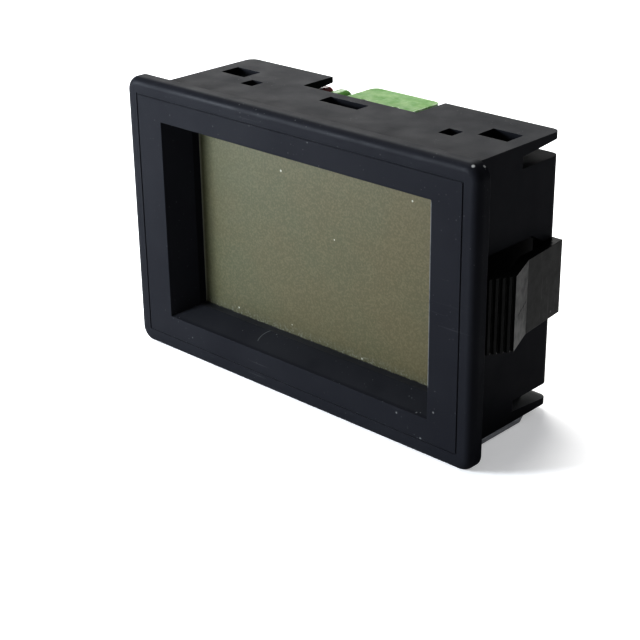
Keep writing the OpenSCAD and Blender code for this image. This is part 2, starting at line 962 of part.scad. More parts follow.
// regulator: a round-backed body with a flat face, on three legs
module regulator() {
    leg_pitch = 1.27;
    body_d = board_back + regulator_lift;
    color([0.1, 0.1, 0.1]) {
        along_y(body_d, regulator_l)
            translate(regulator_pos)
                intersection() {
                    circle(regulator_w / 2);
                    translate([-regulator_w, regulator_w / 2 - regulator_t])
                        square([2 * regulator_w, regulator_w]);
                }
        for (i = [-1:1])
            bar(regulator_pos[0] + i * leg_pitch, regulator_pos[1], lead_r, board_back, body_d + over);
    }
}

// square trimmer with a round seat for its rotor
module trimmer_body() {
    color([0.12, 0.27, 0.6])
        difference() {
            along_y(board_back, trimmer_l)
                translate(trimmer_pos)
                    round_rect(trimmer_w, trimmer_w, 0.6);
            bar(
                trimmer_pos[0], trimmer_pos[1], rotor_r + rotor_gap,
                board_back + trimmer_l - rotor_seat, board_back + trimmer_l + over
            );
        }
}

// slotted rotor of the trimmer
module trimmer_rotor() {
    rotor_front = board_back + trimmer_l - rotor_seat + rotor_gap;
    slot_w = 0.6;
    color([0.9, 0.88, 0.82])
        difference() {
            bar(trimmer_pos[0], trimmer_pos[1], rotor_r, rotor_front, rotor_front + rotor_l);
            box(
                [trimmer_pos[0] - slot_w / 2, at(rotor_front + rotor_l / 2), trimmer_pos[1] - 2 * rotor_r],
                [trimmer_pos[0] + slot_w / 2, at(rotor_front + 2 * rotor_l), trimmer_pos[1] + 2 * rotor_r]
            );
        }
}

case();
clip_left();
clip_right();
front_polariser();
front_glass();
rear_glass();
rear_polariser();
diffuser_sheet();
light_guide();
reflector_sheet();
backlight_led();
display_frame();
contact_strip_top();
contact_strip_bottom();
circuit_board();
terminal_body();
terminal_contacts();
terminal_clamp_1();
terminal_clamp_2();
terminal_screw_1();
terminal_screw_2();
green_capacitor();
red_capacitor();
electrolytic_capacitor();
controller_chip();
resistors();
diodes();
regulator();
trimmer_body();
trimmer_rotor();
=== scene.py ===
import math

import bmesh
import bpy
from mathutils import Matrix, Vector


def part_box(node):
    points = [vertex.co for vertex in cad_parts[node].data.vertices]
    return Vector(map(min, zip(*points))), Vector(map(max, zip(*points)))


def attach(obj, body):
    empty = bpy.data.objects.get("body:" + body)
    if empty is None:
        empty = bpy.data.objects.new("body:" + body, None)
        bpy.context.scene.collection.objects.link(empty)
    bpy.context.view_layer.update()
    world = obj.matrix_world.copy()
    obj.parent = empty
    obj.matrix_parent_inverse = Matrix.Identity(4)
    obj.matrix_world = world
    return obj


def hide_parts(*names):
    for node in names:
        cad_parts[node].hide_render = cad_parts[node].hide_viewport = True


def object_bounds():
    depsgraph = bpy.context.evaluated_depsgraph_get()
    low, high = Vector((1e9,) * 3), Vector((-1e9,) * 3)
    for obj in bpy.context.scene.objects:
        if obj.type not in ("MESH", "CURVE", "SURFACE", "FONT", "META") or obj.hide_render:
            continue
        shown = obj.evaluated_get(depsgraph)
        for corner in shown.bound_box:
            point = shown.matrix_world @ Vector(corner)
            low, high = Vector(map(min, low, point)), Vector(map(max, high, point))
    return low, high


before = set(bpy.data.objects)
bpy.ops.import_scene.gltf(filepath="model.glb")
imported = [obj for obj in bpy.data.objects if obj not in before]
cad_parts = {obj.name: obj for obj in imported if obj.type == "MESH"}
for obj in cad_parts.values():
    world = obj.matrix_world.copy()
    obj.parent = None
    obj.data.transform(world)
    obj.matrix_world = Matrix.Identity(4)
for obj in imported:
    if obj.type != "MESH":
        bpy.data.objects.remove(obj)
cad_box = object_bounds()


# Case: bezel, funnel recess and open box, moulded in one piece of black plastic with a fine eroded grain.
# It has been handled: dust lies on its upward faces, with a few specks and hairline scratches on the front,
# and the edges are rubbed a little lighter. Painted light is mixed into these pale marks: sheen in the dust
# on level faces, light low inside, two corner glints, a recess edge highlight, rib reflections, lit edges.
MM = 0.001
BEZEL_FRONT = round(cad_box[0][1] / MM, 3)
RECESS_FLOOR_Z = -14.2
INNER_FLOOR_Z = -17.5
RIB_TOP_Z = -20.7
CASE_BLACKS = ((0.0097, 0.0102, 0.0135), (0.0165, 0.0172, 0.0205))
CASE_DUST_AND_PAINTED_LIGHT = (0.34, 0.345, 0.338)
CASE_WEAR_AND_HIGHLIGHT = (0.07, 0.071, 0.075)
# Each speck has a place, a radius and a strength, and each smudge in the dust a place and a radius. The last
# two are no specks but painted glints on the rounded top right corner.
FRONT_SPECKS_AND_GLINTS = [
    ((20.8, BEZEL_FRONT, -16.8), 0.2, 0.3),
    ((24.1, -2.0, -15.8), 0.18, 0.25),
    ((27.4, BEZEL_FRONT, -14.5), 0.2, 0.28),
    ((25.2, BEZEL_FRONT, -19.3), 0.22, 0.28),
    ((-21.5, BEZEL_FRONT, -18.2), 0.16, 0.2),
    ((4.3, BEZEL_FRONT, 19.1), 0.14, 0.2),
    # Painted glints, where the rounded top right corner catches the light.
    ((32.5, -1.75, 21.67), 0.3, 0.8),
    ((33.2, -0.35, 21.45), 0.26, 0.7),
]
SMUDGES = [((3.4, -1.2, -15.5), 1.6), ((15.4, -0.9, -15.3), 2.0)]
# Where a painted highlight runs down the right edge of the recess, across x and up z.
PAINTED_HIGHLIGHT_X = 26.3
PAINTED_HIGHLIGHT_Z = (-10.9, 15.7)
SCRATCH_CENTRE = (-6.5, 0.15, 0.0)
SCRATCH_RADIUS = 2.1
SCRATCH_END = (-7.7, -0.8)


class Finish:
    """A procedural material that measures in millimetres in the part's own frame."""

    def __init__(self, name, specular=0.5, metallic=0.0):
        self.material = bpy.data.materials.new(name)
        self.material.use_nodes = True
        self.shader = self.material.node_tree.nodes["Principled BSDF"]
        self.shader.inputs["Specular IOR Level"].default_value = specular
        self.shader.inputs["Metallic"].default_value = metallic
        place = self.put("TexCoord").outputs["Object"]
        self.where = self.put("Mapping", {"Vector": place, "Scale": (1 / MM, 1 / MM, 1 / MM)}).outputs[0]

    def put(self, kind, inputs=(), **settings):
        """Adds a shader node; an input is a value or another node's output."""
        node = self.material.node_tree.nodes.new("ShaderNode" + kind)
        for key, value in settings.items():
            setattr(node, key, value)
        for key, value in dict(inputs).items():
            if isinstance(value, bpy.types.NodeSocket):
                self.join(value, node.inputs[key])
            else:
                node.inputs[key].default_value = value
        return node

    def join(self, output, entry):
        self.material.node_tree.links.new(output, entry)

    def axes(self):
        """The place along x, y and z."""
        return self.put("SeparateXYZ", {0: self.where}).outputs

    def stretch(self, scale, turn=(0.0, 0.0, 0.0)):
        """The place turned and scaled, for a pattern that runs one way."""
        return self.put("Mapping", {"Vector": self.where, "Rotation": turn, "Scale": scale}).outputs[0]

    def away(self, centre, where=None):
        """The distance from a centre."""
        ends = {0: self.where if where is None else where, 1: centre}
        return self.put("VectorMath", ends, operation="DISTANCE").outputs["Value"]

    def calc(self, operation, a, b=0.0):
        return self.put("Math", {0: a, 1: b}, operation=operation).outputs[0]

    def apart(self, value, middle):
        """How far a value is from a middle one, on either side."""
        return self.calc("ABSOLUTE", self.calc("SUBTRACT", value, middle))

    def times(self, first, *others):
        for other in others:
            first = self.calc("MULTIPLY", first, other)
        return first

    def fade(self, value, low, high, at_low=0.0, at_high=1.0):
        """Goes from at_low to at_high while the value goes from low to high, and stays there beyond."""
        ends = {"Value": value, "From Min": low, "From Max": high, "To Min": at_low, "To Max": at_high}
        return self.put("MapRange", ends).outputs[0]

    def rise(self, value, place, soft):
        """A soft step from 0 up to 1 at a place."""
        return self.fade(value, place - soft, place + soft)

    def fall(self, value, place, soft):
        """A soft step from 1 down to 0 at a place."""
        return self.fade(value, place - soft, place + soft, 1.0, 0.0)

    def cloud(self, size, detail=2, where=None):
        """Noise with patches of a size in millimetres."""
        ends = {"Vector": self.where if where is None else where, "Scale": 1.0 / size, "Detail": detail}
        return self.put("TexNoise", ends).outputs["Fac"]

    def drift(self, size, detail, low, high, where=None):
        """A number that wanders between low and high over patches of a size."""
        return self.fade(self.cloud(size, detail, where), 0.3, 0.7, low, high)

    def tint(self, share, a, b):
        """Mixes two colours, each given as red, green and blue or as another node's output."""
        ends = [end if isinstance(end, bpy.types.NodeSocket) else (*end, 1.0) for end in (a, b)]
        return self.put("Mix", {0: share, 6: ends[0], 7: ends[1]}, data_type="RGBA").outputs[2]

    def mottle(self, size, detail, a, b):
        """Two colours in soft patches of a size."""
        return self.tint(self.cloud(size, detail), a, b)

    def rounded(self, radius):
        """The normal as it would be with every edge rounded off."""
        return self.put("Bevel", {"Radius": radius * MM}, samples=4).outputs[0]

    def worn_edge(self, radius, most):
        """Marks edges, where the rounded normal leans away from the flat one."""
        ends = {0: self.rounded(radius), 1: self.put("NewGeometry").outputs["Normal"]}
        turned = self.put("VectorMath", ends, operation="DOT_PRODUCT").outputs["Value"]
        return self.fade(turned, 0.97, 0.8, 0.0, most)

    def close(self, colour, rough, height, depth_um, edge=0.0):
        """Joins colour, roughness and relief to the shader, with the relief's depth in micrometres."""
        relief = {"Height": height, "Distance": depth_um * MM * MM, "Strength": 1.0}
        if edge:
            relief["Normal"] = self.rounded(edge)
        normal = self.put("Bump", relief).outputs[0]
        for key, value in {"Base Color": colour, "Roughness": rough, "Normal": normal}.items():
            self.join(value, self.shader.inputs[key])

    def dress(self, *names):
        """Puts the finish on CAD pieces."""
        for name in names:
            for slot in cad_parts[name].material_slots:
                slot.material = self.material


black = Finish("black_moulding", specular=0.05)
x, y, z = black.axes()
normal = black.put("SeparateXYZ", {0: black.put("NewGeometry").outputs["Normal"]}).outputs
colour = black.mottle(12.0, 2, *CASE_BLACKS)

# Fine specks of dust, thicker on faces that look up.
cells = black.put("TexVoronoi", {"Vector": black.where, "Scale": 1.7})
chance = black.put("SeparateColor", {0: cells.outputs["Color"]}).outputs[0]
speck_size = black.fade(chance, 0.55, 1.0, 0.0, 0.17)
specks = black.fade(black.calc("SUBTRACT", cells.outputs["Distance"], speck_size), 0.0, 0.05, 1.0, 0.0)
patches = black.fade(black.cloud(7.0, 4), 0.42, 0.62)
dust_and_painted_light = black.times(specks, patches, black.fade(normal["Z"], -0.2, 0.9, 0.05, 0.3))

# A film of dust on level faces, partly painted sheen on the top, and much thicker low inside the case,
# where it is painted light.
lying_flat = black.fade(normal["Z"], 0.89, 1.0)
behind_groove = black.fade(y, BEZEL_FRONT + 0.3, BEZEL_FRONT + 0.6)
painted_light_low_inside = black.fade(z, INNER_FLOOR_Z - 0.5, INNER_FLOOR_Z + 0.5, 9.0, 1.0)
dust_and_sheen_film = black.times(lying_flat, black.drift(9.0, 3, 0.05, 0.09), behind_groove, painted_light_low_inside)
dust_and_painted_light = black.calc("MAXIMUM", dust_and_painted_light, dust_and_sheen_film)

# Larger specks on the bezel and two painted glints on its corner, and smudges that have thinned the dust.
for place, radius, strength in FRONT_SPECKS_AND_GLINTS:
    pale_spot = black.fade(black.away(place), radius * 0.5, radius, strength, 0.0)
    dust_and_painted_light = black.calc("MAXIMUM", dust_and_painted_light, pale_spot)
for place, radius in SMUDGES:
    dust_and_painted_light = black.times(dust_and_painted_light, black.fade(black.away(place), radius * 0.3, radius, 0.6, 1.0))

# A curved scratch on the floor of the recess, and hairlines across the front.
seen_from_above = black.put("CombineXYZ", {"X": x, "Y": y}).outputs[0]
from_arc = black.apart(black.away(SCRATCH_CENTRE, seen_from_above), SCRATCH_RADIUS)
scratch_ends = (black.fall(x, SCRATCH_END[0], 0.1), black.rise(y, SCRATCH_END[1], 0.1))
on_recess_floor = black.fall(z, RECESS_FLOOR_Z, 0.1)
scratch = black.times(black.fade(from_arc, 0.04, 0.11, 0.2, 0.0), *scratch_ends, on_recess_floor)
dust_and_painted_light = black.calc("MAXIMUM", dust_and_painted_light, scratch)
streaks = black.stretch((0.035, 0.3, 2.6), turn=(0.0, 0.65, 0.0))
hairline = black.fade(black.cloud(1.0, 3, streaks), 0.69, 0.74, 0.0, 0.06)
scattered = black.fade(black.cloud(10.0), 0.48, 0.6)
facing_front = black.fade(normal["Y"], -0.9, -0.98)
dust_and_painted_light = black.calc("MAXIMUM", dust_and_painted_light, black.times(hairline, scattered, facing_front))

# Painted light: a pale reflection of the floor on the ribs under the case, and a highlight in broken patches
# down the right edge of the recess.
rib_painted_reflection = black.fade(z, RIB_TOP_Z - 0.08, RIB_TOP_Z - 0.02, 0.8, 0.0)
dust_and_painted_light = black.calc("MAXIMUM", dust_and_painted_light, black.times(rib_painted_reflection, black.fade(y, 0.1, 0.3)))
painted_edge_highlight = black.fade(black.apart(x, PAINTED_HIGHLIGHT_X), 0.08, 0.18, 0.27, 0.0)
edge_ends = (black.rise(z, PAINTED_HIGHLIGHT_Z[0], 0.3), black.fall(z, PAINTED_HIGHLIGHT_Z[1], 0.3))
at_front = black.fade(y, BEZEL_FRONT + 0.2, BEZEL_FRONT + 0.3, 1.0, 0.0)
broken = black.fade(black.cloud(1.3, 3), 0.3, 0.5, 0.5, 1.0)
dust_and_painted_light = black.calc("MAXIMUM", dust_and_painted_light, black.times(painted_edge_highlight, *edge_ends, at_front, broken))
# The pale colour is dust, and painted light for the glints, the sheen, the highlight and the reflection
# above.
colour = black.tint(dust_and_painted_light, colour, CASE_DUST_AND_PAINTED_LIGHT)

# The other edges behind the front, worn a little and painted lighter as edge highlights.
edge_wear_and_highlight = black.times(black.worn_edge(0.2, 0.6), black.fade(black.cloud(1.6, 3), 0.4, 0.65))
edge_wear_and_highlight = black.times(edge_wear_and_highlight, black.fade(y, BEZEL_FRONT + 0.1, BEZEL_FRONT + 0.3))
colour = black.tint(edge_wear_and_highlight, colour, CASE_WEAR_AND_HIGHLIGHT)
rough = black.fade(black.cloud(4.0, 4), 0.25, 0.75, 0.42, 0.56)
black.close(colour, rough, black.cloud(0.16, 3), 9.0, edge=0.12)
black.dress("case")


# Guide ribs: the two ribs under the case that centre it in the panel, part of the case moulding.
# Their outer sides are painted pale grey in streaks as a reflection of the floor, darker on the left rib.
RIB_SIDE_X = 30.1
RIB_LOW_Z = -21.5
RIB_BACK = 14.9
RIB_SLOPE = 0.8
RIB_REFLECTION_GREYS = ((0.3, 0.3, 0.31), (0.58, 0.58, 0.59))
WELD = 0.0001


def pull(shape, grown, step):
    """Moves the vertices that an extrude has made by a step in millimetres, and gives them back."""
    verts = [v for v in grown["geom"] if isinstance(v, bmesh.types.BMVert)]
    bmesh.ops.translate(shape, verts=verts, vec=Vector(step) * MM)
    return verts


def add_piece(name, shape, finish, body, smooth=False):
    bmesh.ops.remove_doubles(shape, verts=shape.verts, dist=WELD * MM)
    bmesh.ops.recalc_face_normals(shape, faces=shape.faces)
    mesh = bpy.data.meshes.new(name)
    shape.to_mesh(mesh)
    shape.free()
    piece = bpy.data.objects.new(name, mesh)
    bpy.context.scene.collection.objects.link(piece)
    mesh.materials.append(finish.material)
    if smooth:
        mesh.shade_smooth()
    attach(piece, body)
    return piece


# A painted reflection: pale grey streaks that stand for the floor seen in the rib sides.
rib_reflection = Finish("painted_rib_reflection", specular=0.3)
rib_streaks = rib_reflection.stretch((1.0, 0.12, 2.4))
colour = rib_reflection.tint(rib_reflection.drift(0.6, 4, 0.0, 1.0, rib_streaks), *RIB_REFLECTION_GREYS)
less_on_left = rib_reflection.fade(rib_reflection.axes()["X"], -1.0, 1.0, 0.8, 0.0)
colour = rib_reflection.tint(less_on_left, colour, CASE_BLACKS[1])
rough = rib_reflection.drift(0.4, 3, 0.35, 0.5, rib_streaks)
rib_reflection.close(colour, rough, rib_reflection.cloud(0.3, 3, rib_streaks), 8.0, edge=0.08)

rib_sides = bmesh.new()
for side in (-1, 1):
    corners = [(RIB_SIDE_X, RIB_TOP_Z), (RIB_SIDE_X, RIB_LOW_Z), (RIB_SIDE_X - RIB_SLOPE, RIB_LOW_Z)]
    ring = [rib_sides.verts.new(Vector((side * x, 0.0, z)) * MM) for x, z in corners]
    grown = bmesh.ops.extrude_face_region(rib_sides, geom=[rib_sides.faces.new(ring)])
    rear = pull(rib_sides, grown, (0.0, RIB_BACK, 0.0))
    low_rear = [v for v in rear if v.co.z < (RIB_TOP_Z + RIB_LOW_Z) / 2 * MM]
    bmesh.ops.translate(rib_sides, verts=low_rear, vec=Vector((0.0, -RIB_SLOPE, 0.0)) * MM)
add_piece("guide_rib_sides", rib_sides, rib_reflection, "case")


# Clips: springy ratchet tongues moulded in a tougher, slightly glossier black plastic.
# Each turns on a round bead in the side wall, and its teeth are rubbed where they grip the panel.
CLIP_BLACKS = ((0.004, 0.0042, 0.004), (0.008, 0.0082, 0.0078))
CLIP_SCUFF = (0.1, 0.1, 0.095)
CLIP_CREST = (0.06, 0.06, 0.058)
CLIP_NICK = (0.2, 0.2, 0.2)
CLIP_NICK_AT = (31.72, 18.1, -4.9)
CLIP_SCRATCH = (Vector((34.2, 6.68, -1.04)), Vector((32.75, 10.43, -0.63)))
TEETH_BACK = 5.6

tough = Finish("clip_black", specular=0.12)
colour = tough.mottle(3.5, 3, *CLIP_BLACKS)
grain = tough.stretch((0.6, 2.2, 0.16), turn=(0.5, 0.0, 0.0))
colour = tough.tint(tough.fade(tough.cloud(1.0, 4, grain), 0.6, 0.72, 0.0, 0.2), colour, CLIP_SCUFF)
crests = tough.times(tough.worn_edge(0.16, 0.7), tough.fade(tough.cloud(1.4, 3), 0.35, 0.6))
on_teeth = tough.fade(tough.axes()["Y"], TEETH_BACK, TEETH_BACK + 0.6, 1.0, 0.25)
colour = tough.tint(tough.times(crests, on_teeth), colour, CLIP_CREST)
along = CLIP_SCRATCH[1] - CLIP_SCRATCH[0]
heading = along.normalized()
from_start = tough.put("VectorMath", {0: tough.where, 1: CLIP_SCRATCH[0]}, operation="SUBTRACT").outputs[0]
across = tough.put("VectorMath", {0: from_start, 1: heading}, operation="CROSS_PRODUCT").outputs[0]
beside = tough.put("VectorMath", {0: across}, operation="LENGTH").outputs["Value"]
reach = tough.put("VectorMath", {0: from_start, 1: heading}, operation="DOT_PRODUCT").outputs["Value"]
scratch_ends = (tough.rise(reach, 0.0, 0.1), tough.fall(reach, along.length, 0.1))
scratch = tough.times(tough.fade(beside, 0.06, 0.14, 0.9, 0.0), *scratch_ends)
colour = tough.tint(tough.fade(tough.away(CLIP_NICK_AT), 0.1, 0.24, 0.5, 0.0), colour, CLIP_NICK)
rough = tough.drift(1.2, 4, 0.28, 0.42)
relief = tough.calc("SUBTRACT", tough.cloud(0.2, 3), tough.times(scratch, 12.0))
tough.close(colour, rough, relief, 7.0, edge=0.12)
tough.dress("clip_left", "clip_right")


# Liquid crystal cell: two glass plates with a polarising film on each side, dropped in behind the recess.
# Switched off it shows a grey olive field with a faint sparkle from the matt film on its front.
def span(node):
    """A node's lowest and highest corners, in millimetres."""
    return [[round(c / MM, 3) for c in corner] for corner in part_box(node)]


FILM_FRONT = span("front_polariser")[0][1]
WINDOW_HALF_X = 23.8
WINDOW_LOW_Z = -14.3
FILM_OLIVES = ((0.0475, 0.0485, 0.0255), (0.056, 0.0485, 0.024))
FILM_SPARKLE = (0.12, 0.112, 0.066)
FILM_SHADE = (0.05, 0.055, 0.035)
FILM_FOOT = (0.045, 0.048, 0.034)
FILM_CRUMBS = (0.125, 0.125, 0.1)
FILM_EDGE_DARK = (0.006, 0.006, 0.006)
FILM_SPECK = (0.42, 0.42, 0.38)
FILM_RIM = (0.26, 0.26, 0.22)
# Each speck of dust on the film has a place and a radius.
FILM_SPECKS = [
    ((-6.25, FILM_FRONT, 11.4), 0.3),
    ((18.8, FILM_FRONT, 12.6), 0.26),
    ((4.3, FILM_FRONT, 3.3), 0.2),
    ((-16.2, FILM_FRONT, -13.2), 0.26),
    ((9.6, FILM_FRONT, -13.9), 0.28),
    ((-4.6, FILM_FRONT, -12.7), 0.18),
]
GLASS_TONES = ((0.42, 0.5, 0.46), (0.5, 0.57, 0.53))

film = Finish("polarising_film", specular=0.25)
x, _, z = film.axes()
left_to_right = film.fade(x, -WINDOW_HALF_X, WINDOW_HALF_X)
colour = film.tint(film.calc("ADD", left_to_right, film.drift(9.0, 3, -0.35, 0.35)), *FILM_OLIVES)
colour = film.tint(film.fade(film.cloud(0.3, 3), 0.42, 0.68, 0.0, 0.28), colour, FILM_SPARKLE)
left_shade = film.fade(x, -WINDOW_HALF_X, -WINDOW_HALF_X + 3.0, 0.35, 0.0)
colour = film.tint(left_shade, colour, FILM_SHADE)
# Darker towards the bottom edge, with pale crumbs there and a ragged dark line along the very edge.
low_band = film.fade(z, WINDOW_LOW_Z, WINDOW_LOW_Z + 1.6, 0.75, 0.0)
colour = film.tint(film.times(low_band, 0.55), colour, FILM_FOOT)
crumbs = film.fade(film.cloud(0.35, 4), 0.52, 0.64)
colour = film.tint(film.times(low_band, crumbs), colour, FILM_CRUMBS)
from_low = film.calc("ADD", z, film.drift(0.6, 3, -0.1, 0.1))
low_line = film.fade(from_low, WINDOW_LOW_Z + 0.04, WINDOW_LOW_Z + 0.16, 0.9, 0.0)
colour = film.tint(low_line, colour, FILM_EDGE_DARK)
for place, radius in FILM_SPECKS:
    pale_spot = film.fade(film.away(place), radius * 0.2, radius * 0.8, 0.6, 0.0)
    colour = film.tint(pale_spot, colour, FILM_SPECK)
rim = film.fade(film.calc("ABSOLUTE", x), WINDOW_HALF_X - 0.5, WINDOW_HALF_X - 0.1, 0.0, 0.45)
colour = film.tint(rim, colour, FILM_RIM)
film.close(colour, film.drift(0.5, 3, 0.32, 0.46), film.cloud(0.12), 3.0)
film.dress("front_polariser", "rear_polariser")

glass = Finish("cell_glass", specular=0.5)
glass.close(glass.mottle(8.0, 2, *GLASS_TONES), glass.drift(3.0, 2, 0.04, 0.1), glass.cloud(5.0), 2.0)
glass.dress("front_glass", "rear_glass")


# Back light: a clear acrylic plate lit from its left edge by a lamp, between a diffuser and a reflector.
# The sheets are matt white film; the lamp is a flat block of clear resin on two tinned leads.
SHEET_WHITES = ((0.74, 0.74, 0.71), (0.8, 0.8, 0.78))
ACRYLIC_TONES = ((0.7, 0.75, 0.74), (0.77, 0.81, 0.8))
LAMP_TONES = ((0.72, 0.75, 0.82), (0.8, 0.83, 0.88))

sheet = Finish("white_film", specular=0.35)
sheet.close(sheet.mottle(5.0, 2, *SHEET_WHITES), sheet.drift(0.6, 2, 0.55, 0.7), sheet.cloud(0.3), 4.0)
sheet.dress("diffuser_sheet", "reflector_sheet")

acrylic = Finish("clear_acrylic", specular=0.5)
colour = acrylic.mottle(6.0, 2, *ACRYLIC_TONES)
acrylic.close(colour, acrylic.drift(0.9, 3, 0.08, 0.2), acrylic.cloud(0.7), 3.0)
acrylic.dress("light_guide")

lamp = Finish("lamp_resin", specular=0.5)
lamp.close(lamp.mottle(1.0, 2, *LAMP_TONES), lamp.drift(0.5, 2, 0.12, 0.22), lamp.cloud(0.5), 2.0)
lamp.dress("backlight_led")


# Display frame: white plastic tray behind the glass that holds the light guide, sheets and contact strips.
# Four posts at its corners carry the circuit board, and the hooks of the case hold it from behind.
TRAY_WHITES = ((0.66, 0.66, 0.63), (0.74, 0.74, 0.71))

tray = Finish("white_moulding", specular=0.4)
colour = tray.mottle(6.0, 2, *TRAY_WHITES)
tray.close(colour, tray.drift(2.0, 3, 0.45, 0.6), tray.cloud(0.25), 6.0, edge=0.1)
tray.dress("display_frame")


# Contact strips: silicone rubber bars with fine conducting and insulating layers side by side.
# They are squeezed between the ledges of the front glass and the board, and the conducting layers are dark.
LAYER_PITCH = 0.18
RUBBER_PALE = (0.55, 0.36, 0.34)
RUBBER_DARK = (0.05, 0.045, 0.045)

rubber = Finish("layered_rubber", specular=0.3)
from_layer = rubber.calc("PINGPONG", rubber.axes()["X"], LAYER_PITCH / 2)
dark_layer = rubber.fade(from_layer, LAYER_PITCH * 0.2, LAYER_PITCH * 0.3)
colour = rubber.tint(dark_layer, RUBBER_PALE, RUBBER_DARK)
rubber.close(colour, rubber.drift(0.8, 2, 0.6, 0.75), dark_layer, 6.0)
rubber.dress("contact_strip_top", "contact_strip_bottom")


# Circuit board: glass epoxy laminate with green solder mask, tinned pads and masked copper tracks.
# The board lies on the posts of the display frame, and the tracks stand just proud under the mask.
def spot(node):
    """The x and z of a node's middle, in millimetres: where it stands on the board."""
    low, high = span(node)
    return [round((low[axis] + high[axis]) / 2, 4) for axis in (0, 2)]


BOARD_HALF_X, BOARD_BACK, BOARD_HALF_Z = span("circuit_board")[1]
BOARD_GREENS = ((0.012, 0.115, 0.035), (0.02, 0.15, 0.05))
WEAVE_GREEN = (0.03, 0.19, 0.07)
LAMINATE_EDGE = (0.36, 0.33, 0.16)
COPPER_GREENS = ((0.03, 0.22, 0.07), (0.05, 0.27, 0.09))
SOLDER_GREYS = ((0.55, 0.55, 0.54), (0.72, 0.71, 0.69))
POLES = [spot(node)[0] for node in ("terminal_clamp_1", "terminal_clamp_2")]
CHIP_AT = spot("controller_chip")
CAN_AT = spot("electrolytic_capacitor")
GREEN_AT = spot("green_capacitor")
RED_AT = spot("red_capacitor")
DIPPED_PIN = 2.5
CAN_PIN = 1.0
RESISTOR_R = 1.1
RESISTOR_PITCH = 3.0
RESISTOR_COUNT = 5
RESISTOR_X = [span("resistors")[0][0] + RESISTOR_R + i * RESISTOR_PITCH for i in range(RESISTOR_COUNT)]
RESISTOR_Z = spot("resistors")[1]
RESISTOR_FOOT = 3.9
DIODE_R = 0.95
DIODE_X = [span("diodes")[0][0] + DIODE_R, span("diodes")[1][0] - DIODE_R]
DIODE_Z = spot("diodes")[1]
DIODE_FOOT = 2.9
REGULATOR_X = spot("regulator")[0]
REGULATOR_LEG_Z = -12.0
REGULATOR_PITCH = 1.27
LEAD_R = 0.3
TRACK_W = 0.4
TRACK_T = 0.05
KNEE_R = 0.21
KNEE_T = 0.056
PAD_R = 0.82
PAD_T = 0.07
VIA_R = 0.42
TRACK_ROUTES = [
    [(POLES[0], 9.0), (POLES[0], 4.0), (-3.7, 3.2), (-3.7, -1.9)],
    [(POLES[1], 9.0), (POLES[1], 2.6), (1.1, 1.8), (1.1, -1.9)],
    [(-10.3, 11.4), (-10.3, 6.0), (-5.3, 1.0), (-5.3, -1.9)],
    [(-14.4, 11.4), (-14.4, 4.4), (-9.6, -0.4), (-9.6, -3.2), (-8.8, -4.0), (-7.4, -4.0)],
    [(-20.5, 0.1), (-20.5, -1.6), (-17.5, -4.6)],
    [(-23.5, 6.2), (-23.5, 9.4), (-21.0, 11.9), (-17.2, 11.9)],
    [(-14.5, -4.8), (-14.5, -3.4), (-12.7, -1.6), (-11.4, -4.8), (-7.4, -4.8)],
    [(-11.5, -4.8), (-11.5, -5.6), (-7.4, -5.6)],
    [(-11.5, -13.2), (-11.5, -14.6), (-9.7, -16.4), (-3.7, -16.4), (-2.9, -15.6), (-2.9, -14.1)],
    [(-14.5, -13.2), (-14.5, -15.4), (-12.7, -17.2), (-1.3, -17.2), (-0.5, -16.4), (-0.5, -14.1)],
    [(-17.5, -13.2), (-17.5, -16.2), (-19.3, -18.0)],
    [(4.8, -8.8), (7.2, -8.8), (8.23, -9.8), (8.23, -12.0)],
    [(4.8, -6.4), (9.0, -6.4), (10.4, -7.0), (14.0, -7.0)],
    [(4.8, -4.8), (11.0, -4.8), (12.4, -3.4), (17.5, -3.4)],
    [(10.77, -12.0), (10.77, -14.6), (12.4, -16.2), (21.6, -16.2), (22.6, -15.2), (22.6, -8.2), (21.0, -7.0)],
    [(4.8, -4.0), (9.6, -4.0), (14.5, 0.9), (14.5, 9.5)],
    [(16.5, 9.5), (16.5, 3.4), (18.2, 1.7), (23.4, 1.7), (24.0, 1.1), (24.0, -17.0)],
    [(1.1, -14.1), (1.1, -15.6), (2.7, -17.2), (14.4, -17.2)],
]
PAD_SPOTS = [
    *[(x, RESISTOR_Z + side * RESISTOR_FOOT) for x in RESISTOR_X for side in (-1, 1)],
    *[(x, DIODE_Z + side * DIODE_FOOT) for x in DIODE_X for side in (-1, 1)],
    *[(x, z + side * DIPPED_PIN) for x, z in (GREEN_AT, RED_AT) for side in (-1, 1)],
    *[(CAN_AT[0] + side * CAN_PIN, CAN_AT[1]) for side in (-1, 1)],
    *[(REGULATOR_X + leg * REGULATOR_PITCH, REGULATOR_LEG_Z) for leg in (-1, 0, 1)],
]
VIA_SPOTS = [(-18.0, 14.8), (-6.4, 5.2), (6.4, 4.4), (21.4, 5.2)]
VIA_SPOTS += [(23.0, 12.4), (12.6, 14.6), (-8.2, -14.6), (6.6, -15.2)]
SOLDER_CONE = [(0.0, 0.5), (LEAD_R, 0.48), (LEAD_R + 0.08, 0.3), (0.58, 0.1)]
SOLDER_CONE += [(PAD_R, PAD_T), (PAD_R, -PAD_T), (0.0, -PAD_T)]
VIA_PROFILE = [(0.0, -0.02), (0.18, 0.0), (0.2, PAD_T), (VIA_R, PAD_T), (VIA_R, -PAD_T), (0.0, -PAD_T)]


def add_block(shape, low, high, turn=None):
    middle = (Vector(low) + Vector(high)) / 2 * MM
    size = (Vector(high) - Vector(low)) * MM
    place = Matrix.Translation(middle) @ (turn or Matrix()) @ Matrix.Diagonal((*size, 1.0))
    bmesh.ops.create_cube(shape, size=1.0, matrix=place)


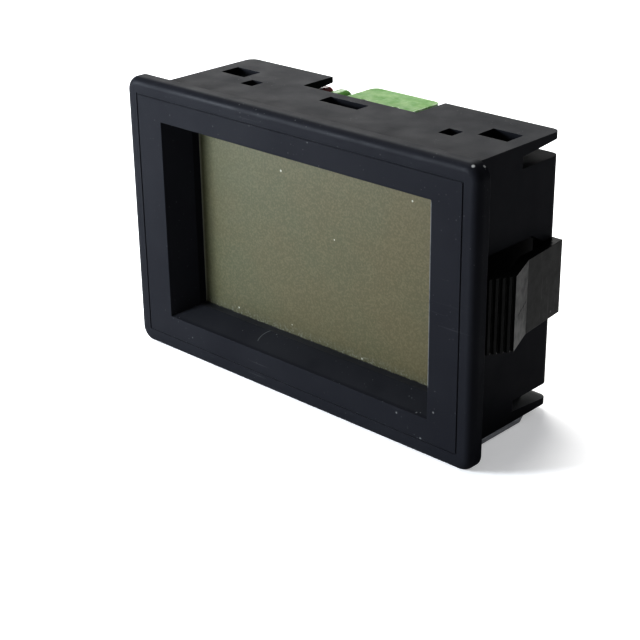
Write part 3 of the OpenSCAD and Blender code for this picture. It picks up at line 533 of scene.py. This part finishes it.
def spin_round(shape, centre, axis, points, steps):
    """Spins a row of points, given in millimetres from the centre, right round an axis."""
    verts = [shape.verts.new(centre + Vector(point) * MM) for point in points]
    edges = [shape.edges.new(pair) for pair in zip(verts, verts[1:])]
    full = {"angle": 2 * math.pi, "steps": steps, "use_merge": True}
    bmesh.ops.spin(shape, geom=verts + edges, cent=centre, axis=axis, **full)


def add_turned(shape, x, z, points, steps=24):
    """Spins a profile of (radius, height above the board) round the board's normal at x, z."""
    foot = Vector((x, BOARD_BACK, z)) * MM
    spin_round(shape, foot, (0.0, 1.0, 0.0), [(r, h, 0.0) for r, h in points], steps)


board = Finish("green_board", specular=0.5)
x, _, z = board.axes()
thread = {"Vector": board.where, "Scale": 0.9, "Distortion": 1.2}
threads = [board.put("TexWave", thread, bands_direction=axis).outputs["Fac"] for axis in "XZ"]
weave = board.calc("MAXIMUM", *threads)
mask = board.tint(board.times(weave, 0.25), board.mottle(7.0, 3, *BOARD_GREENS), WEAVE_GREEN)
past_x = board.fade(board.calc("ABSOLUTE", x), BOARD_HALF_X - 0.03, BOARD_HALF_X - 0.01)
past_z = board.fade(board.calc("ABSOLUTE", z), BOARD_HALF_Z - 0.03, BOARD_HALF_Z - 0.01)
colour = board.tint(board.calc("MAXIMUM", past_x, past_z), mask, LAMINATE_EDGE)
board.close(colour, board.drift(2.5, 3, 0.26, 0.4), weave, 3.0)
board.dress("circuit_board")

copper = Finish("masked_copper", specular=0.5)
colour = copper.mottle(3.0, 3, *COPPER_GREENS)
copper.close(colour, copper.drift(1.2, 2, 0.24, 0.36), copper.cloud(0.4), 3.0)

solder = Finish("tinned_metal", metallic=1.0)
colour = solder.mottle(0.9, 3, *SOLDER_GREYS)
solder.close(colour, solder.drift(0.5, 4, 0.2, 0.42), solder.cloud(0.35), 10.0)

tracks = bmesh.new()
for route in TRACK_ROUTES:
    for (x0, z0), (x1, z1) in zip(route, route[1:]):
        length = math.hypot(x1 - x0, z1 - z0)
        turn = Matrix.Rotation(-math.atan2(z1 - z0, x1 - x0), 4, "Y")
        centre = Vector(((x0 + x1) / 2, BOARD_BACK, (z0 + z1) / 2))
        half = Vector((length / 2, TRACK_T, TRACK_W / 2))
        add_block(tracks, centre - half, centre + half, turn)
    for x, z in route:
        knee = Matrix.Translation(Vector((x, BOARD_BACK, z)) * MM) @ Matrix.Rotation(math.pi / 2, 4, "X")
        disc = {"radius1": KNEE_R * MM, "radius2": KNEE_R * MM, "depth": 2 * KNEE_T * MM}
        bmesh.ops.create_cone(tracks, cap_ends=True, segments=16, matrix=knee, **disc)
add_piece("board_tracks", tracks, copper, "case")

pads = bmesh.new()
for x, z in PAD_SPOTS:
    add_turned(pads, x, z, SOLDER_CONE)
for x, z in VIA_SPOTS:
    add_turned(pads, x, z, VIA_PROFILE, steps=16)
add_piece("solder_pads", pads, solder, "case", smooth=True)


# Board print: white ink lines that show where each part goes, screened on the solder mask.
# The ink is thin and a little broken, and it lies over the masked tracks.
INK_T = 0.062
INK_W = 0.18
INK_THIN = (0.22, 0.36, 0.25)
INK_FULL = (0.62, 0.64, 0.6)
# A box or a stroke has its middle and its half sizes along x and z, and a ring its middle and its radius.
PRINTED_BOXES = [
    *[(x, RESISTOR_Z, 1.4, 3.35) for x in RESISTOR_X],
    *[(x, DIODE_Z, 1.25, 2.35) for x in DIODE_X],
    (*CHIP_AT, 4.0, 4.0),
    (*spot("trimmer_body"), 3.9, 3.9),
    (*GREEN_AT, 1.75, 4.85),
    (*RED_AT, 2.3, 4.85),
]
PLUS_AT = (CAN_AT[0] + 2.9, CAN_AT[1] + 2.8)
PLUS_HALF = 0.7
PRINTED_STROKES = [
    (*PLUS_AT, PLUS_HALF, INK_W / 2),
    (*PLUS_AT, INK_W / 2, PLUS_HALF),
    (spot("terminal_body")[0], 6.2, 6.5, INK_W / 2),
]
PRINTED_RINGS = [(*CAN_AT, 2.85), (CHIP_AT[0] - 6.0, CHIP_AT[1] + 6.8, 0.45)]

ink = Finish("white_ink", specular=0.3)
colour = ink.tint(ink.fade(ink.cloud(0.25, 4), 0.34, 0.5), INK_THIN, INK_FULL)
ink.close(colour, ink.drift(0.4, 3, 0.5, 0.7), ink.cloud(0.15), 4.0)

print_lines = bmesh.new()
for x, z, half_x, half_z in PRINTED_BOXES:
    corners = [(x + i * half_x, z + k * half_z) for i, k in ((-1, -1), (1, -1), (1, 1), (-1, 1))]
    ring = [print_lines.verts.new(Vector((cx, BOARD_BACK - INK_T, cz)) * MM) for cx, cz in corners]
    inside = print_lines.faces.new(ring)
    inside.normal_update()
    border = {"thickness": INK_W * MM, "use_boundary": True, "use_even_offset": True}
    rim = bmesh.ops.inset_region(print_lines, faces=[inside], **border)["faces"]
    bmesh.ops.delete(print_lines, geom=[inside], context="FACES_ONLY")
    pull(print_lines, bmesh.ops.extrude_face_region(print_lines, geom=rim), (0.0, 2 * INK_T, 0.0))
for x, z, half_x, half_z in PRINTED_STROKES:
    half = Vector((half_x, INK_T, half_z))
    centre = Vector((x, BOARD_BACK, z))
    add_block(print_lines, centre - half, centre + half)
for x, z, radius in PRINTED_RINGS:
    inner = radius - INK_W / 2
    outer = radius + INK_W / 2
    section = [(inner, INK_T), (outer, INK_T), (outer, -INK_T), (inner, -INK_T), (inner, INK_T)]
    add_turned(print_lines, x, z, section, steps=40)
add_piece("board_print", print_lines, ink, "case")


# Terminal block: green moulded body with two wire chambers, pinned to the board by its contacts.
# Slotted plated screws draw the wire clamps up against the contact plates.
TERMINAL_GREENS = ((0.075, 0.225, 0.035), (0.175, 0.305, 0.1))
TERMINAL_BLOOM = (0.34, 0.45, 0.28)
TERMINAL_CHALK = (0.66, 0.78, 0.58)
PLATED_GREYS = ((0.5, 0.49, 0.47), (0.66, 0.65, 0.62))

green = Finish("terminal_green", specular=0.25)
colour = green.tint(green.drift(1.7, 4, 0.0, 1.0), *TERMINAL_GREENS)
colour = green.tint(green.fade(green.cloud(0.5, 3), 0.55, 0.72, 0.0, 0.3), colour, TERMINAL_BLOOM)
chalk = green.times(green.worn_edge(0.55, 0.9), green.fade(green.cloud(0.9, 3), 0.3, 0.5))
colour = green.tint(chalk, colour, TERMINAL_CHALK)
green.close(colour, green.drift(1.5, 3, 0.38, 0.52), green.cloud(0.18), 7.0, edge=0.15)
green.dress("terminal_body")

plated = Finish("plated_steel", metallic=1.0)
colour = plated.mottle(0.7, 3, *PLATED_GREYS)
drawn = plated.stretch((6.0, 0.7, 6.0))
rough = plated.drift(1.0, 3, 0.24, 0.44, drawn)
plated.close(colour, rough, plated.cloud(0.8, 2, drawn), 5.0, edge=0.1)
plated.dress("terminal_contacts")
plated.dress("terminal_clamp_1", "terminal_clamp_2", "terminal_screw_1", "terminal_screw_2")


# Dipped film capacitors: a wound foil pillow coated in coloured resin, one green and one brown red.
# The resin runs a little way down each tinned lead, and its skin is glossy and slightly lumpy.
DIPPED_LIFT = 0.6
SKIRT = [(0.0, 0.19), (LEAD_R + 0.12, 0.19), (LEAD_R + 0.16, 0.45), (LEAD_R + 0.35, 0.9)]
SKIRT += [(0.95, 1.5), (0.0, 1.7)]
RESIN_GREENS = ((0.1, 0.25, 0.05), (0.17, 0.33, 0.1))
RESIN_REDS = ((0.24, 0.05, 0.055), (0.34, 0.085, 0.085))
RESIN_FLECK = (0.5, 0.52, 0.48)


def dipping_resin(name, tones):
    finish = Finish(name, specular=0.5)
    flecks = finish.fade(finish.cloud(0.45, 4), 0.52, 0.7, 0.0, 0.18)
    blush = finish.tint(flecks, finish.mottle(2.2, 3, *tones), RESIN_FLECK)
    finish.close(blush, finish.drift(1.5, 3, 0.14, 0.28), finish.cloud(1.1), 40.0)
    return finish


def dipped_pillow(name, node, roundness, finish):
    (x0, _, z0), (x1, top, z1) = span(node)
    shape = bmesh.new()
    add_block(shape, (x0, BOARD_BACK + DIPPED_LIFT, z0), (x1, top, z1))
    bulge = {"offset": (x1 - x0) * roundness * MM, "offset_type": "OFFSET", "segments": 8, "profile": 0.5}
    bmesh.ops.bevel(shape, geom=shape.edges[:], affect="EDGES", material=-1, **bulge)
    for side in (-1, 1):
        add_turned(shape, (x0 + x1) / 2, (z0 + z1) / 2 + side * DIPPED_PIN, SKIRT, steps=16)
    piece = add_piece(name, shape, finish, "case", smooth=True)
    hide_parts(node)


green_resin = dipping_resin("green_resin", RESIN_GREENS)
dipped_pillow("green_capacitor_coat", "green_capacitor", 0.44, green_resin)
red_resin = dipping_resin("red_resin", RESIN_REDS)
dipped_pillow("red_capacitor_coat", "red_capacitor", 0.24, red_resin)


# Electrolytic capacitor: an aluminium can in a shrunk dark sleeve with a pale stripe.
# The sleeve rolls over the rim, the bare end is scored with a cross, and a crimp low down holds the seal.
CAN_LOW, CAN_HIGH = span("electrolytic_capacitor")
CAN_R = (CAN_HIGH[0] - CAN_LOW[0]) / 2
CAN_L = CAN_HIGH[1] - CAN_LOW[1]
SLEEVE_FOOT = [(0.0, 0.0), (2.2, 0.0), (2.42, 0.1), (CAN_R, 0.3), (CAN_R, 0.95)]
SLEEVE_CRIMP = [(2.36, 1.15), (2.32, 1.3), (2.36, 1.45), (CAN_R, 1.65)]
SLEEVE_RIM = [(CAN_R, 4.55), (2.44, 4.82), (2.28, 4.97), (2.1, CAN_L), (1.85, 4.98), (1.8, 4.75), (0.0, 4.75)]
SLEEVE_DARKS = ((0.012, 0.013, 0.022), (0.02, 0.021, 0.034))
STRIPE_HALF = 0.75
STRIPE_GREY = (0.5, 0.5, 0.52)
SCORE_HALF = 0.1
SCORE_REACH = 1.45
SCORE_DEPTH = 0.12
LID_R = 1.82
LID_TOP = 4.94
LID_FOOT = 4.7
LID_PROFILE = [(0.0, LID_TOP), (SCORE_REACH, LID_TOP), (1.74, LID_TOP), (LID_R, 4.88)]
LID_PROFILE += [(LID_R, LID_FOOT), (0.0, LID_FOOT)]
LID_GREYS = ((0.62, 0.62, 0.63), (0.74, 0.74, 0.75))

shrunk = Finish("shrunk_sleeve", specular=0.5)
x, _, z = shrunk.axes()
outer_side = shrunk.fade(shrunk.calc("SUBTRACT", x, CAN_AT[0]), 0.0, 0.1)
stripe = shrunk.fade(shrunk.apart(z, CAN_AT[1]), STRIPE_HALF, STRIPE_HALF + 0.06, 1.0, 0.0)
base = shrunk.mottle(2.0, 3, *SLEEVE_DARKS)
colour = shrunk.tint(shrunk.times(stripe, outer_side), base, STRIPE_GREY)
shrunk.close(colour, shrunk.drift(1.0, 3, 0.2, 0.32), shrunk.cloud(1.4), 14.0)
sleeve = bmesh.new()
add_turned(sleeve, *CAN_AT, SLEEVE_FOOT + SLEEVE_CRIMP + SLEEVE_RIM, steps=48)
can = add_piece("electrolytic_sleeve", sleeve, shrunk, "case", smooth=True)
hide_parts("electrolytic_capacitor")

aluminium = Finish("can_aluminium", metallic=1.0)
colour = aluminium.mottle(0.8, 3, *LID_GREYS)
aluminium.close(colour, aluminium.drift(0.6, 3, 0.28, 0.42), aluminium.cloud(0.3), 4.0)
lid = bmesh.new()
add_turned(lid, *CAN_AT, LID_PROFILE, steps=48)
bmesh.ops.remove_doubles(lid, verts=lid.verts, dist=WELD * MM)
lid_centre = Vector((CAN_AT[0], BOARD_BACK + LID_TOP, CAN_AT[1])) * MM
for across in (Vector((1.0, 0.0, 0.0)), Vector((0.0, 0.0, 1.0))):
    for side in (-SCORE_HALF, SCORE_HALF):
        everything = lid.verts[:] + lid.edges[:] + lid.faces[:]
        cut = lid_centre + across * side * MM
        bmesh.ops.bisect_plane(lid, geom=everything, plane_co=cut, plane_no=across)
scored = []
for face in lid.faces:
    away = (face.calc_center_median() - lid_centre) / MM
    on_top = abs(away.y) < SCORE_HALF / 2 and away.length < SCORE_REACH
    if on_top and min(abs(away.x), abs(away.z)) < SCORE_HALF:
        scored.append(face)
pull(lid, bmesh.ops.extrude_face_region(lid, geom=scored), (0.0, -SCORE_DEPTH, 0.0))
bmesh.ops.delete(lid, geom=scored, context="FACES")
add_piece("electrolytic_lid", lid, aluminium, "case")


# Controller chip: square black package with a gull wing pin row on each side, soldered flat to the board.
# The pins are stamped from thin tinned strip, bent down to the board and out again to a foot.
# A pale dot is printed on the package at its first pin.
CHIP_HALF = span("controller_chip")[1][0] - CHIP_AT[0]
CHIP_BLACKS = ((0.012, 0.012, 0.012), (0.02, 0.02, 0.02))
CHIP_DOT = (CHIP_AT[0] - 3.6, 0.0, CHIP_AT[1] + 3.6)
DOT_R = 0.42
DOT_GREY = (0.3, 0.3, 0.29)
PIN_W = 0.36
PIN_T = 0.15
PIN_PITCH = 0.8
PINS_PER_SIDE = 11
# Each bend of a pin is given by its distance out from the package and its height above the board.
PIN_BENDS = [(-0.15, 0.95), (0.42, 0.95), (0.62, 0.14), (1.15, 0.1)]

epoxy = Finish("black_epoxy", specular=0.4)
x, _, z = epoxy.axes()
flat = epoxy.put("CombineXYZ", {"X": x, "Z": z}).outputs[0]
dot = epoxy.fade(epoxy.away(CHIP_DOT, flat), DOT_R - 0.04, DOT_R, 0.8, 0.0)
colour = epoxy.tint(dot, epoxy.mottle(1.5, 3, *CHIP_BLACKS), DOT_GREY)
epoxy.close(colour, epoxy.drift(0.8, 3, 0.46, 0.6), epoxy.cloud(0.1), 8.0, edge=0.08)
epoxy.dress("controller_chip")

pins = bmesh.new()
for side in range(4):
    turn = Matrix.Rotation(side * math.pi / 2, 4, "Y")
    place = Matrix.Translation(Vector((CHIP_AT[0], BOARD_BACK, CHIP_AT[1])) * MM) @ turn
    for i in range(PINS_PER_SIDE):
        edge = (i - (PINS_PER_SIDE - 1) / 2) * PIN_PITCH - PIN_W / 2
        chain = [pins.verts.new(Vector((CHIP_HALF + out, up, edge)) * MM) for out, up in PIN_BENDS]
        spine = [pins.edges.new(pair) for pair in zip(chain, chain[1:])]
        far_edge = pull(pins, bmesh.ops.extrude_edge_only(pins, edges=spine), (0.0, 0.0, PIN_W))
        bmesh.ops.transform(pins, matrix=place, verts=chain + far_edge)
bmesh.ops.recalc_face_normals(pins, faces=pins.faces)
bmesh.ops.solidify(pins, geom=pins.faces[:], thickness=PIN_T * MM)
add_piece("chip_pins", pins, solder, "case")


# Resistors: five ceramic rods in pale blue lacquer, swollen at their end caps, with painted code rings.
# Each lies on the board with its two tinned leads bent down into the pads.
RESISTOR_HALF = 3.1
ROD_LIFT = 0.05
ROD_NECK = [(0.0, 0.9), (1.2, 0.9), (1.6, 0.98), (2.0, 1.08), (2.35, RESISTOR_R)]
ROD_CAP = [(2.75, 1.06), (2.98, 0.9), (RESISTOR_HALF, 0.6), (RESISTOR_HALF, 0.0)]
RINGS = (-2.2, -1.1, -0.1, 0.9, 2.2)
RING_HALF = 0.24
LACQUER_BLUES = ((0.1, 0.25, 0.36), (0.14, 0.31, 0.43))
RING_PAINTS = [
    (0.01, 0.01, 0.01, 1),
    (0.1, 0.035, 0.012, 1),
    (0.42, 0.02, 0.015, 1),
    (0.62, 0.17, 0.015, 1),
    (0.03, 0.2, 0.05, 1),
    (0.16, 0.04, 0.3, 1),
]

lacquer = Finish("blue_lacquer", specular=0.5)
x, _, z = lacquer.axes()
colour = lacquer.mottle(1.5, 3, *LACQUER_BLUES)
number = lacquer.calc("ROUND", lacquer.calc("DIVIDE", x, RESISTOR_PITCH))
for order, ring in enumerate(RINGS):
    draw = lacquer.calc("ADD", number, order * 7.0 + 0.31)
    pick = lacquer.put("TexWhiteNoise", {"W": draw}, noise_dimensions="1D").outputs["Value"]
    paint = lacquer.put("ValToRGB", {0: pick})
    paint.color_ramp.interpolation = "CONSTANT"
    while len(paint.color_ramp.elements) < len(RING_PAINTS):
        paint.color_ramp.elements.new(1.0)
    for step, (element, shade) in enumerate(zip(paint.color_ramp.elements, RING_PAINTS)):
        element.position = step / len(RING_PAINTS)
        element.color = shade
    on_ring = lacquer.fade(lacquer.apart(z, RESISTOR_Z + ring), RING_HALF, RING_HALF + 0.05, 1.0, 0.0)
    colour = lacquer.tint(on_ring, colour, paint.outputs[0])
lacquer.close(colour, lacquer.drift(0.9, 3, 0.2, 0.36), lacquer.cloud(0.8), 18.0)


def add_rods(shape, xs, z, height, half_profile):
    """Spins a rod along Z at each x, from the (distance from its middle, radius) points of one half."""
    profile = [(-out, r) for out, r in reversed(half_profile) if out > 0.0] + half_profile
    for x in xs:
        middle = Vector((x, BOARD_BACK + height, z)) * MM
        spin_round(shape, middle, (0.0, 0.0, 1.0), [(r, 0.0, out) for out, r in profile], steps=28)


rods = bmesh.new()
add_rods(rods, RESISTOR_X, RESISTOR_Z, RESISTOR_R + ROD_LIFT, ROD_NECK + ROD_CAP)
resistor_rods = add_piece("resistor_rods", rods, lacquer, "case", smooth=True)
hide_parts("resistors")


# Diodes: two small moulded black cylinders with a silver ring at one end.
# They lie beside the resistors on the same kind of bent, tinned leads.
DIODE_HALF = 2.1
DIODE_RING = (1.05, 1.55)
DIODE_BLACKS = ((0.013, 0.013, 0.014), (0.022, 0.022, 0.024))
DIODE_SILVER = (0.55, 0.55, 0.54)
BARREL_END = [(1.85, DIODE_R), (1.98, 0.92), (DIODE_HALF, 0.8), (DIODE_HALF, 0.0)]

ringed = Finish("ringed_epoxy", specular=0.4)
along = ringed.calc("SUBTRACT", ringed.axes()["Z"], DIODE_Z)
ring_low = ringed.fade(along, DIODE_RING[0] - 0.04, DIODE_RING[0])
ring_high = ringed.fade(along, DIODE_RING[1], DIODE_RING[1] + 0.04, 1.0, 0.0)
base = ringed.mottle(0.8, 3, *DIODE_BLACKS)
colour = ringed.tint(ringed.times(ring_low, ring_high), base, DIODE_SILVER)
ringed.close(colour, ringed.drift(0.6, 3, 0.36, 0.5), ringed.cloud(0.2), 8.0)
barrels = bmesh.new()
add_rods(barrels, DIODE_X, DIODE_Z, DIODE_R + ROD_LIFT, BARREL_END)
diode_barrels = add_piece("diode_barrels", barrels, ringed, "case", smooth=True)
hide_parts("diodes")


# Leads: tinned copper wire of the lying and standing parts, bent by hand and soldered through the board.
# Each lead of a lying part leaves its end cap straight and turns down to its pad in a short bend.
BEND_R = 0.55
BEND_ANGLES = (0.0, 0.52, 1.05, math.pi / 2)
LEAD_INSIDE = 0.3
LEAD_IN_RESIN = 0.4


def add_wire(shape, points):
    """Runs a round wire through points, in millimetres, and turns each ring to the next stretch."""
    heading = (Vector(points[1]) - Vector(points[0])).normalized()
    aim = Matrix.Translation(Vector(points[0]) * MM) @ heading.to_track_quat("Z", "Y").to_matrix().to_4x4()
    end = {"cap_ends": False, "segments": 10, "radius": LEAD_R * MM}
    ring = bmesh.ops.create_circle(shape, matrix=aim, **end)["verts"]
    for here, ahead, after in zip(points, points[1:], points[2:] + [None]):
        step = Vector(ahead) - Vector(here)
        edges = [e for e in shape.edges if e.verts[0] in ring and e.verts[1] in ring]
        ring = pull(shape, bmesh.ops.extrude_edge_only(shape, edges=edges), step)
        if after is not None:
            lean = step.normalized().rotation_difference((Vector(after) - Vector(ahead)).normalized())
            bmesh.ops.rotate(shape, cent=Vector(ahead) * MM, matrix=lean.to_matrix(), verts=ring)


leads = bmesh.new()
for xs, z, height, half, foot in (
    (RESISTOR_X, RESISTOR_Z, RESISTOR_R + ROD_LIFT, RESISTOR_HALF, RESISTOR_FOOT),
    (DIODE_X, DIODE_Z, DIODE_R + ROD_LIFT, DIODE_HALF, DIODE_FOOT),
):
    bend_out = foot - BEND_R
    bend_up = height - BEND_R
    bend = [(bend_out + BEND_R * math.sin(a), bend_up + BEND_R * math.cos(a)) for a in BEND_ANGLES]
    path = [(half - LEAD_INSIDE, height), *bend, (foot, 0.0)]
    for x in xs:
        for side in (-1, 1):
            add_wire(leads, [(x, BOARD_BACK + up, z + side * out) for out, up in path])
for x, z in (GREEN_AT, RED_AT):
    for side in (-1, 1):
        pin_z = z + side * DIPPED_PIN
        top = BOARD_BACK + DIPPED_LIFT + LEAD_IN_RESIN
        add_wire(leads, [(x, BOARD_BACK, pin_z), (x, top, pin_z)])
bmesh.ops.holes_fill(leads, edges=leads.edges[:])
add_piece("component_leads", leads, solder, "case", smooth=True)


# Regulator: black moulded body with a flat face, standing on three tinned legs.
# The legs come out of the foot of the same piece, so the finish changes where the resin ends.
REGULATOR_FOOT = BOARD_BACK + 1.2
LEG_GREY = (0.62, 0.61, 0.6)

legged = Finish("legged_epoxy", specular=0.4)
leg = legged.fade(legged.axes()["Y"], REGULATOR_FOOT - 0.02, REGULATOR_FOOT, 1.0, 0.0)
colour = legged.tint(leg, legged.mottle(1.2, 3, *CHIP_BLACKS), LEG_GREY)
legged.close(colour, legged.drift(0.8, 3, 0.42, 0.58), legged.cloud(0.12), 8.0, edge=0.1)
legged.join(leg, legged.shader.inputs["Metallic"])
legged.dress("regulator")


# Trimmer: blue moulded box with a slotted white rotor in a round seat, for setting the reading.
# The rotor is turned with a small screwdriver, and its white plastic has yellowed a little in patches.
TRIMMER_BLUES = ((0.012, 0.055, 0.26), (0.02, 0.08, 0.33))
ROTOR_WHITES = ((0.66, 0.63, 0.55), (0.78, 0.75, 0.68))

blue = Finish("trimmer_blue", specular=0.5)
colour = blue.mottle(2.0, 3, *TRIMMER_BLUES)
blue.close(colour, blue.drift(0.8, 3, 0.28, 0.42), blue.cloud(0.2), 7.0, edge=0.12)
blue.dress("trimmer_body")

white = Finish("rotor_white", specular=0.5)
colour = white.mottle(0.8, 4, *ROTOR_WHITES)
white.close(colour, white.drift(0.5, 3, 0.3, 0.46), white.cloud(0.15), 7.0, edge=0.1)
white.dress("trimmer_rotor")


# Studio: a plain pale floor under the bezel, a broad soft light overhead, a window at the rear left and a
# small low one at the front left, so the front is lit and the side towards the camera stays dark.
# Only the camera sees the glow of the floor, which keeps the shadow pale, and the brighter backdrop.
FLOOR_Z = round(cad_box[0][2] / MM, 3)
FLOOR_HALF = 6.0
FLOOR_GLOW = 0.3
FLOOR_WHITES = ((0.86, 0.86, 0.86), (0.88, 0.88, 0.88))
WARM_LIGHT = (1.0, 0.99, 0.97)
COOL_LIGHT = (0.88, 0.94, 1.0)
SKY_TONE = (0.9, 0.93, 1.0, 1.0)
SKY_LIGHT = 0.16
SKY_SEEN = 0.8
CAMERA_AT = (143.963, -146.82, 81.864)
CAMERA_TURN = (66.0081, 0.6965, 43.3183)
CAMERA_LENS = 85.81

pale = Finish("pale_floor", specular=0.2)
colour = pale.mottle(180.0, 2, *FLOOR_WHITES)
pale.close(colour, pale.drift(90.0, 2, 0.6, 0.7), pale.cloud(1.5), 10.0)
glow = pale.times(pale.put("LightPath").outputs["Is Camera Ray"], FLOOR_GLOW)
pale.shader.inputs["Emission Color"].default_value = (1.0, 1.0, 1.0, 1.0)
pale.join(glow, pale.shader.inputs["Emission Strength"])
ground = bmesh.new()
under = Matrix.Translation((0.0, 0.0, FLOOR_Z * MM))
bmesh.ops.create_grid(ground, x_segments=1, y_segments=1, size=FLOOR_HALF, matrix=under)
ground_mesh = bpy.data.meshes.new("floor")
ground.to_mesh(ground_mesh)
ground.free()
floor = bpy.data.objects.new("floor", ground_mesh)
bpy.context.scene.collection.objects.link(floor)
ground_mesh.materials.append(pale.material)


def add_light(name, kind, place, power, shade):
    light = bpy.data.lights.new(name, kind)
    light.energy = power
    light.color = shade
    stand = bpy.data.objects.new(name, light)
    bpy.context.scene.collection.objects.link(stand)
    stand.location = place
    stand.rotation_euler = Vector(place).to_track_quat("Z", "Y").to_euler()
    return light


overhead = add_light("overhead", "SUN", (-0.35, 0.05, 0.9), 2.1, WARM_LIGHT)
overhead.angle = math.radians(35.0)
for name, place, size, power, shade in (
    ("rear_window", (-0.75, 0.75, 0.6), 0.7, 2.8, WARM_LIGHT),
    ("left_window", (-0.3, -0.33, 0.09), 0.15, 3.9, COOL_LIGHT),
):
    window = add_light(name, "AREA", place, power, shade)
    window.shape = "DISK"
    window.size = size

sky = bpy.data.worlds.new("studio")
bpy.context.scene.world = sky
sky.use_nodes = True
backdrop = sky.node_tree.nodes["Background"]
backdrop.inputs["Color"].default_value = SKY_TONE
backdrop.inputs["Strength"].default_value = SKY_LIGHT
seen = sky.node_tree.nodes.new("ShaderNodeBackground")
seen.inputs["Strength"].default_value = SKY_SEEN
direct = sky.node_tree.nodes.new("ShaderNodeLightPath")
choice = sky.node_tree.nodes.new("ShaderNodeMixShader")
for start, end in (
    (direct.outputs["Is Camera Ray"], choice.inputs["Fac"]),
    (backdrop.outputs[0], choice.inputs[1]),
    (seen.outputs[0], choice.inputs[2]),
    (choice.outputs[0], sky.node_tree.nodes["World Output"].inputs["Surface"]),
):
    sky.node_tree.links.new(start, end)
bpy.context.scene.view_settings.view_transform = "Standard"
bpy.context.scene.view_settings.look = "High Contrast"

camera_data = bpy.data.cameras.new("camera")
camera_data.lens = CAMERA_LENS
camera_data.sensor_width = 36.0
camera_data.clip_start = 0.01
camera_data.clip_end = 20.0
camera = bpy.data.objects.new("camera", camera_data)
bpy.context.scene.collection.objects.link(camera)
camera.location = Vector(CAMERA_AT) * MM
camera.rotation_euler = [math.radians(angle) for angle in CAMERA_TURN]
bpy.context.scene.camera = camera
